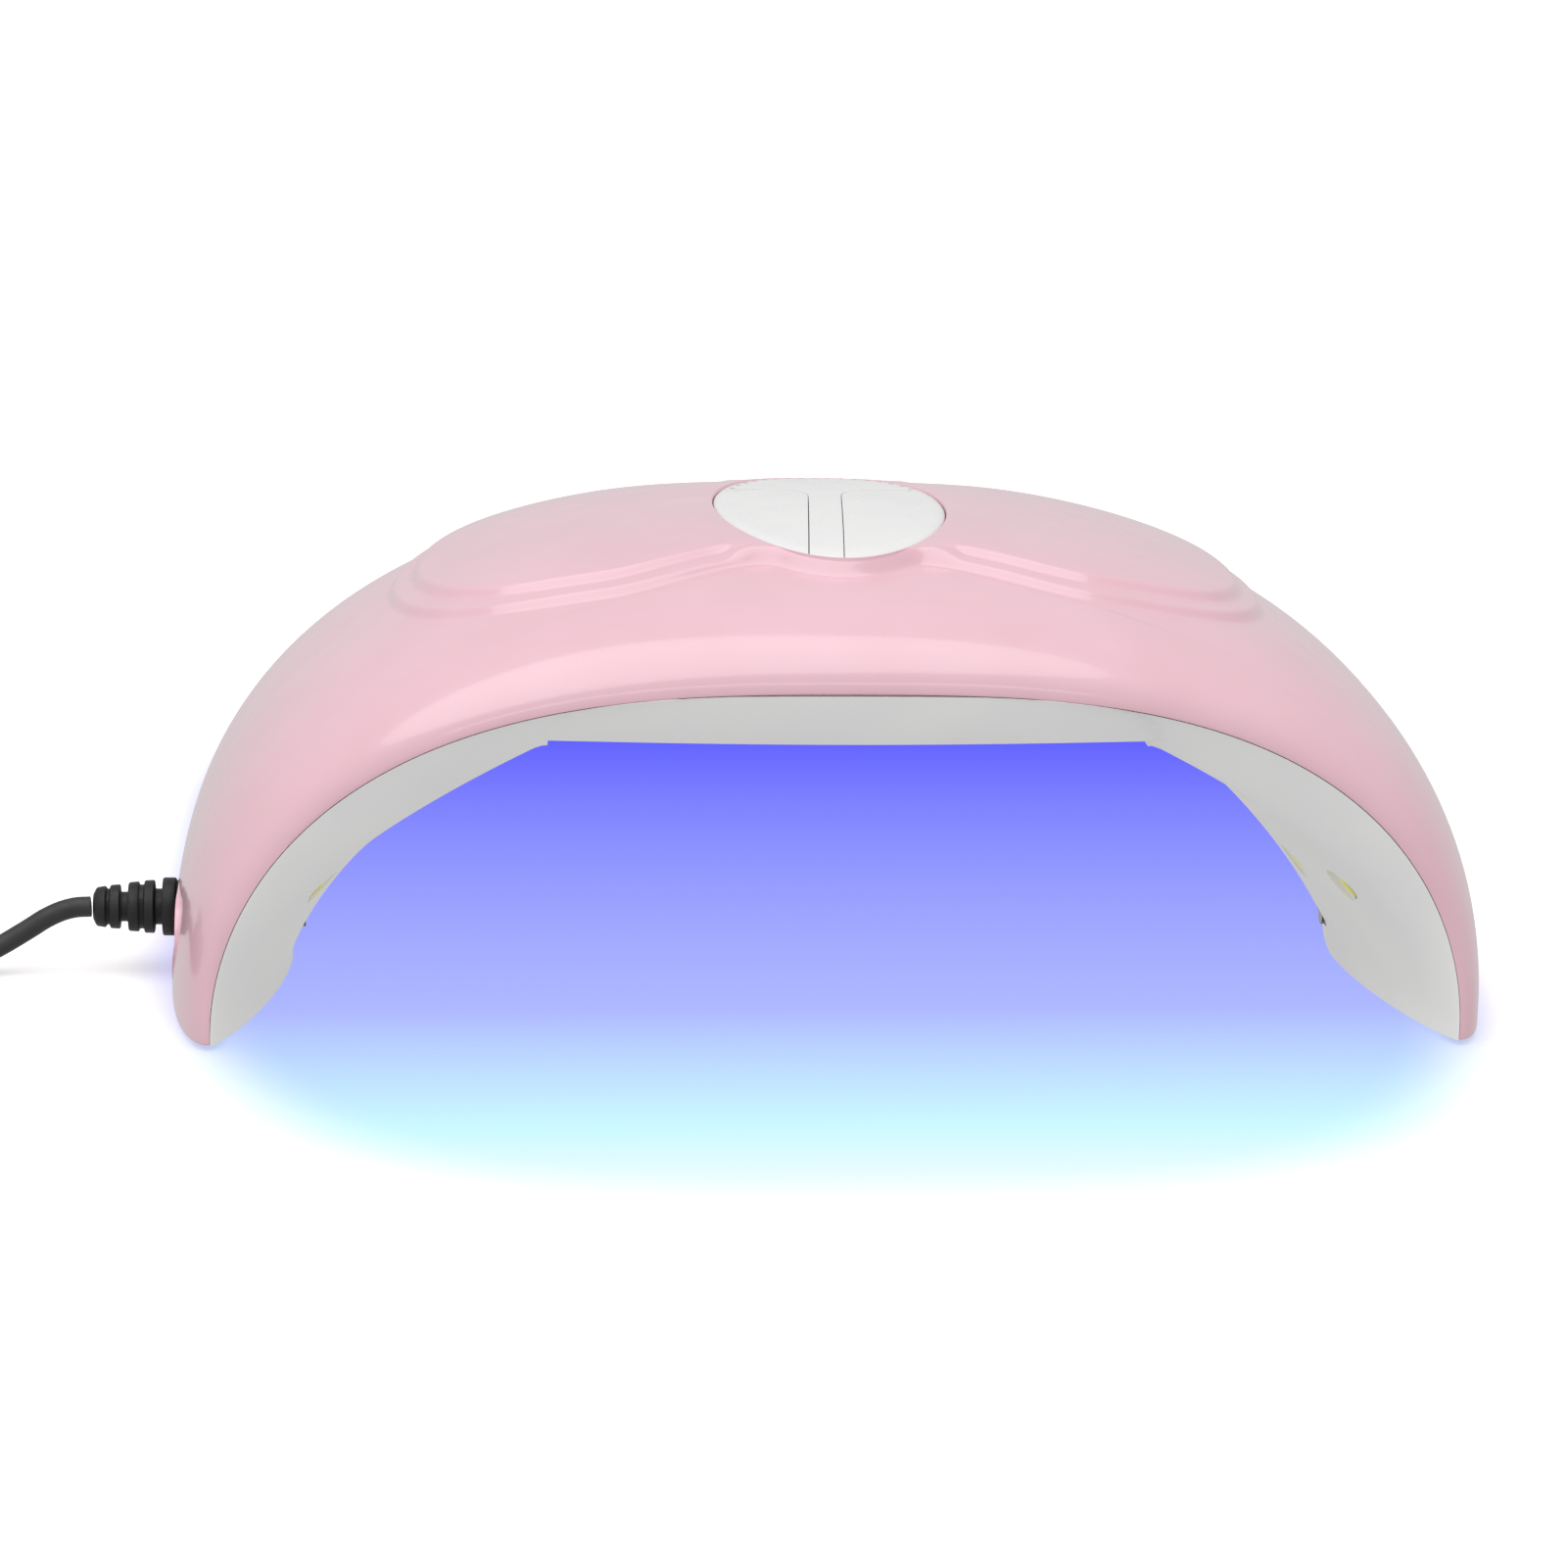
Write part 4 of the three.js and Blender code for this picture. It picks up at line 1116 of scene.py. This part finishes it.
def bump(tree, shader, height, depth_mm, strength=1.0):
    links = {"Height": height, "Distance": depth_mm * MM, "Strength": strength}
    bumped = node(tree, "ShaderNodeBump", links)
    tree.links.new(bumped.outputs["Normal"], shader.inputs["Normal"])


def moulded(name, dark, light, roughness, grain, grain_depth_mm, patch=60.0, **shader_values):
    """Moulded plastic or rubber: patches of two close shades, uneven gloss, and a fine grain."""
    finish, tree, shader, coordinates = new_finish(name, **shader_values)
    patches = spread(tree, noise(tree, coordinates, patch), 0, 1)
    tree.links.new(mixed(tree, patches, dark, light), shader.inputs["Base Color"])
    sheen = spread(tree, noise(tree, coordinates, patch * 4, 3.0), *roughness)
    tree.links.new(sheen, shader.inputs["Roughness"])
    bump(tree, shader, noise(tree, coordinates, grain, 3.0), grain_depth_mm)
    return finish


def pink_shell_finish():
    return moulded(
        "pink_gloss", colour(228, 184, 196), colour(231, 188, 200), (0.2, 0.27), 420, 0.0015,
        Coat_Weight=0.6, Coat_Roughness=0.05, IOR=1.5,
    )


def white_liner_finish():
    return moulded(
        "white_satin", colour(239, 239, 239), colour(243, 243, 242), (0.36, 0.48), 1500, 0.005,
        IOR=1.49,
    )


def key_finish():
    return moulded(
        "key_white", colour(229, 229, 229), colour(233, 233, 232), (0.24, 0.34), 1100, 0.002,
        Coat_Weight=0.3, Coat_Roughness=0.12,
    )


def dot_finish():
    return moulded("dot_grey", colour(168, 168, 170), colour(182, 182, 184), (0.3, 0.45), 2000, 0.004)


def switch_finish():
    return moulded("switch_black", colour(22, 22, 24), colour(34, 34, 36), (0.45, 0.65), 2500, 0.01)


def plunger_finish():
    return moulded("plunger_white", colour(205, 203, 196), colour(222, 220, 214), (0.35, 0.5), 2500, 0.006)


def chip_finish():
    return moulded("chip_epoxy", colour(20, 20, 21), colour(38, 38, 40), (0.55, 0.75), 5000, 0.015)


def boot_finish():
    return moulded(
        "boot_black", colour(18, 18, 18), colour(30, 30, 31), (0.42, 0.58), 2600, 0.02, patch=220,
        Specular_IOR_Level=0.4,
    )


def cord_finish():
    return moulded(
        "cord_black", colour(36, 36, 37), colour(52, 52, 53), (0.38, 0.52), 1800, 0.015, patch=160,
        Specular_IOR_Level=0.45,
    )


def tie_finish():
    return moulded("tie_black", colour(24, 24, 24), colour(36, 36, 38), (0.4, 0.6), 2200, 0.012, patch=200)


def pad_finish():
    return moulded("pad_grey", colour(118, 120, 122), colour(138, 140, 142), (0.75, 0.92), 1600, 0.05)


def wire_finish():
    return moulded("wire_red", colour(150, 24, 20), colour(186, 34, 28), (0.38, 0.5), 900, 0.02, patch=300)


def sensor_finish():
    return moulded(
        "sensor_dark", colour(26, 20, 30), colour(44, 34, 48), (0.1, 0.2), 1200, 0.004,
        Coat_Weight=0.8, Coat_Roughness=0.03,
    )


def bead_body_finish():
    return moulded("bead_ceramic", colour(222, 218, 196), colour(236, 233, 216), (0.4, 0.55), 2500, 0.01)


def lens_finish():
    """Yellow gel lens: random patches of two close yellows, wet-looking on top."""
    return moulded(
        "lens_yellow", colour(236, 228, 40), colour(248, 244, 96), (0.12, 0.22), 900, 0.01, patch=500,
        Coat_Weight=0.7, Coat_Roughness=0.04,
    )


def led_board_finish():
    """White solder mask with faint copper strips under it."""
    finish, tree, shader, coordinates = new_finish("led_board_white")
    bricks = node(tree, "ShaderNodeTexBrick", {
        "Vector": coordinates, "Scale": 120.0, "Mortar Size": 0.02,
        "Color1": colour(238, 238, 232), "Color2": colour(232, 233, 226), "Mortar": colour(212, 208, 194),
    })
    tree.links.new(bricks.outputs["Color"], shader.inputs["Base Color"])
    tree.links.new(spread(tree, noise(tree, coordinates, 300), 0.35, 0.5), shader.inputs["Roughness"])
    bump(tree, shader, bricks.outputs["Fac"], 0.03)
    return finish


def circuit_board_finish():
    """Green solder mask over branching tracks, with small tinned pads."""
    finish, tree, shader, coordinates = new_finish("circuit_green")
    tracks = node(tree, "ShaderNodeTexBrick", {
        "Vector": coordinates, "Scale": 170.0, "Mortar Size": 0.035,
        "Color1": colour(20, 92, 50), "Color2": colour(24, 102, 56), "Mortar": colour(46, 136, 74),
    })
    spots = node(tree, "ShaderNodeTexVoronoi", {"Vector": coordinates, "Scale": 260.0})
    pads = spread(tree, spots.outputs["Distance"], 1, 0, 0.14, 0.2)
    painted_board = mixed(tree, pads, tracks.outputs["Color"], colour(196, 190, 172))
    tree.links.new(painted_board, shader.inputs["Base Color"])
    tree.links.new(spread(tree, noise(tree, coordinates, 400), 0.28, 0.42), shader.inputs["Roughness"])
    bump(tree, shader, tracks.outputs["Fac"], 0.04)
    return finish


def brushed(name, dark, light, stretch, roughness):
    """Metal with fine lines along one direction."""
    finish, tree, shader, coordinates = new_finish(name, Metallic=1.0, Anisotropic=0.4)
    lines = noise(tree, coordinates, 900, 4.0, stretch)
    tree.links.new(mixed(tree, spread(tree, lines, 0, 1), dark, light), shader.inputs["Base Color"])
    tree.links.new(spread(tree, lines, *roughness), shader.inputs["Roughness"])
    bump(tree, shader, lines, 0.006)
    return finish


def steel_finish():
    return brushed("screw_steel", colour(170, 172, 176), colour(202, 204, 208), (1, 1, 0.1), (0.22, 0.4))


def can_finish():
    return brushed("can_aluminium", colour(176, 180, 184), colour(208, 211, 214), (1, 1, 0.05), (0.28, 0.45))


def sleeve_finish():
    return brushed("sleeve_nickel", colour(186, 186, 184), colour(214, 214, 212), (1, 0.08, 1), (0.18, 0.32))


# ---- surroundings ----
def floor():
    reach = 3000
    corners = [(x * reach, y * reach, 0) for x, y in ((-1, -1), (1, -1), (1, 1), (-1, 1))]
    ground = mesh_piece("ground", corners, [(0, 1, 2, 3)])
    finish = moulded(
        "ground_white", colour(250, 250, 250), colour(252, 252, 252), (0.8, 0.9), 200, 0.01,
        Emission_Color=(1, 1, 1, 1), Emission_Strength=0.25, Specular_IOR_Level=0.2,
    )
    ground.data.materials.append(finish)
    ground.visible_diffuse = False
    ground.visible_glossy = False


WHITE, PALE_CYAN = (255, 255, 255), (205, 250, 255)
LAVENDER, VIOLET_BLUE = (175, 185, 255), (100, 100, 255)
GLOW_STOPS = (  # place along the floor in mm, front to back, and the shade of the light there
    (-115, WHITE),
    (-80, PALE_CYAN),
    (-25, LAVENDER),
    (140, VIOLET_BLUE),
)


def light_pool():
    """The beads' violet light lying on the floor: a thin sheet that glows and fades out at its edge."""
    half_x, half_y, middle_y, height = 130, 200, 50, 0.15
    reach_x, reach_y = 112, 174
    corners = [
        (x * half_x, middle_y + y * half_y, height)
        for x, y in ((-1, -1), (1, -1), (1, 1), (-1, 1))
    ]
    pool = mesh_piece("light_pool", corners, [(0, 1, 2, 3)])
    finish, tree, shader, coordinates = new_finish("pool_light")
    tree.nodes.remove(shader)
    place = node(tree, "ShaderNodeSeparateXYZ", {"Vector": coordinates})
    front, back = GLOW_STOPS[0][0], GLOW_STOPS[-1][0]
    along = spread(tree, place.outputs["Y"], 0, 1, front * MM, back * MM)
    ramp = node(tree, "ShaderNodeValToRGB", {"Fac": along})
    stops = ramp.color_ramp.elements
    for y, shade in GLOW_STOPS[1:-1]:
        stops.new((y - front) / (back - front)).color = colour(*shade)
    stops[0].color = colour(*GLOW_STOPS[0][1])
    stops[len(stops) - 1].color = colour(*GLOW_STOPS[-1][1])
    centred = node(tree, "ShaderNodeMapping", {
        "Vector": coordinates,
        "Location": (0, -middle_y / reach_y, 0),
        "Scale": (1 / (reach_x * MM), 1 / (reach_y * MM), 0),
    })
    sizes = node(tree, "ShaderNodeVectorMath", {0: centred.outputs["Vector"]}, operation="ABSOLUTE")
    shares = node(tree, "ShaderNodeSeparateXYZ", {"Vector": sizes.outputs["Vector"]})
    cubes = [
        node(tree, "ShaderNodeMath", {0: shares.outputs[axis], 1: 3.0}, operation="POWER")
        for axis in ("X", "Y")
    ]
    reach = node(tree, "ShaderNodeMath", {0: cubes[0].outputs[0], 1: cubes[1].outputs[0]})
    fade = node(tree, "ShaderNodeMapRange", {
        "Value": reach.outputs[0], "From Min": 0.6, "From Max": 1.1, "To Min": 1.0, "To Max": 0.0,
    }, interpolation_type="SMOOTHSTEP")
    light = node(tree, "ShaderNodeEmission", {"Color": ramp.outputs["Color"], "Strength": 1.0})
    clear = tree.nodes.new("ShaderNodeBsdfTransparent")
    blend = node(tree, "ShaderNodeMixShader", {"Fac": fade.outputs["Result"]})
    tree.links.new(clear.outputs[0], blend.inputs[1])
    tree.links.new(light.outputs[0], blend.inputs[2])
    tree.links.new(blend.outputs[0], tree.nodes["Material Output"].inputs["Surface"])
    pool.data.materials.append(finish)
    pool.visible_diffuse = False
    pool.visible_glossy = False
    pool.visible_shadow = False


def softbox(name, place, aim, size, power_watts):
    """Rectangular lamp at a place in metres, turned to its aim."""
    data = bpy.data.lights.new(name, "AREA")
    data.shape = "RECTANGLE"
    data.size, data.size_y = size
    data.energy = power_watts
    lamp = bpy.data.objects.new(name, data)
    lamp.location = place
    lamp.rotation_euler = (Vector(aim) - Vector(place)).to_track_quat("-Z", "Y").to_euler()
    bpy.context.scene.collection.objects.link(lamp)


def lights():
    world = bpy.data.worlds.new("studio")
    world.use_nodes = True
    background = world.node_tree.nodes["Background"]
    background.inputs["Color"].default_value = (1, 1, 1, 1)
    background.inputs["Strength"].default_value = 0.63
    bpy.context.scene.world = world
    sky = bpy.data.lights.new("ceiling_light", "SUN")
    sky.energy = 1.62
    sky.angle = math.radians(70)
    ceiling = bpy.data.objects.new("ceiling_light", sky)
    ceiling.rotation_euler = (math.radians(18), math.radians(-12), 0)
    bpy.context.scene.collection.objects.link(ceiling)
    softbox("front_strip", (-0.1, -1.3, 0.4), (0, 0, 0.04), (1.1, 0.12), 0.7)


# ---- assembly ----
def wear(piece, finish):
    piece.data.materials.clear()
    piece.data.materials.append(finish)


def stand_in(piece, finish, body, slot, *nodes):
    """A finished piece that stands for CAD nodes, moves with a body and has its finish."""
    if finish is not None:
        wear(piece, finish)
    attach(piece, body)
    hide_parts(*nodes)


def build_lead(finishes):
    route = cord_route()
    cord = power_cord(route)
    boot, grip, sleeve, tie = plug_boot(), usb_body(), usb_sleeve(), coil_tie()
    stand_in(cord, finishes["cord"], "power_lead", "cord_jacket", "power_cord", "cord_coil", "cord_tail")
    stand_in(boot, finishes["boot"], "power_lead", "boot_rubber", "dc_plug_boot")
    stand_in(grip, finishes["boot"], "power_lead", "boot_rubber", "usb_plug_body")
    stand_in(sleeve, finishes["sleeve"], "power_lead", "plug_metal", "usb_plug_shell")
    stand_in(tie, finishes["tie"], "power_lead", "tie_plastic", "coil_tie")


def build_housing(finishes):
    stations = bead_stations()
    bead_nodes = [f"led_bead_{i + 1:02d}" for i in range(len(stations))]
    stand_in(upper_shell(), finishes["shell"], "housing", "pink_shell", "upper_shell")
    stand_in(inner_liner(stations), finishes["liner"], "housing", "white_liner", "inner_liner")
    beads = uv_beads(stations, finishes["bead"], finishes["lens"])
    stand_in(beads, None, "housing", "led_lens", *bead_nodes)
    stand_in(foot_pads(), finishes["pad"], "housing", "foot_rubber", *[
        f"foot_pad_{place}_{label}" for place in ("front", "back") for label in ("left", "right")
    ])
    seat = BASE + CASE_SCREW["sunk"] - GAP
    case_places = [
        (side * CASE_SCREW["x"], end * CASE_SCREW["y"], seat) for side in (-1, 1) for end in (-1, 1)
    ]
    case_screws = screws("case_screws", case_places, CASE_SCREW, finishes["steel"])
    stand_in(case_screws, None, "housing", "screw_steel", *[
        f"case_screw_{place}_{label}" for place in ("front", "back") for label in ("left", "right")
    ])
    board_places = [(side * BOARD_SCREW["x"], 0, BOARD_SCREW["seat"]) for side in (-1, 1)]
    board_screws = screws("board_screws", board_places, BOARD_SCREW, finishes["steel"])
    stand_in(board_screws, None, "housing", "screw_steel", "board_screw_left", "board_screw_right")


def build_panel(finishes):
    stand_in(button_bezel(), finishes["key"], "housing", "white_buttons", "button_bezel")
    dots = rim_dots(finishes["dot"])
    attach(dots, "housing")
    for label, side in (("left", -1), ("right", 1)):
        button = timer_button(label, side)
        stand_in(button, finishes["key"], f"button_{label}", "white_buttons", f"timer_button_{label}")


def dress_inner_parts(finishes):
    """Finishes for the CAD parts that stay as they are."""
    parts = {
        "switch": ("tact_switch_left", "tact_switch_right", "dc_jack"),
        "plunger": ("switch_plunger_left", "switch_plunger_right"),
        "circuit": ("control_board",),
        "chip": ("controller_chip", "power_transistor"),
        "can": ("smoothing_capacitor",),
        "led_board": (
            "led_board_wall_left", "led_board_shoulder_left", "led_board_wall_right",
            "led_board_shoulder_right", "led_board_ceiling",
        ),
        "sensor": ("ir_emitter", "ir_receiver"),
        "wire": ("jack_lead", "led_lead_left", "led_lead_right"),
        "steel": ("dc_plug_barrel",),
    }
    for finish, names in parts.items():
        for name in names:
            wear(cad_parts[name], finishes[finish])


def main():
    bpy.context.scene.view_settings.view_transform = "Standard"
    make_camera()
    finishes = {
        "cord": cord_finish(), "boot": boot_finish(), "sleeve": sleeve_finish(), "tie": tie_finish(),
        "shell": pink_shell_finish(), "liner": white_liner_finish(), "bead": bead_body_finish(),
        "lens": lens_finish(), "pad": pad_finish(), "steel": steel_finish(), "key": key_finish(),
        "dot": dot_finish(), "switch": switch_finish(), "plunger": plunger_finish(),
        "circuit": circuit_board_finish(), "chip": chip_finish(), "can": can_finish(),
        "led_board": led_board_finish(), "sensor": sensor_finish(), "wire": wire_finish(),
    }
    build_lead(finishes)
    build_housing(finishes)
    build_panel(finishes)
    dress_inner_parts(finishes)
    floor()
    light_pool()
    lights()


main()
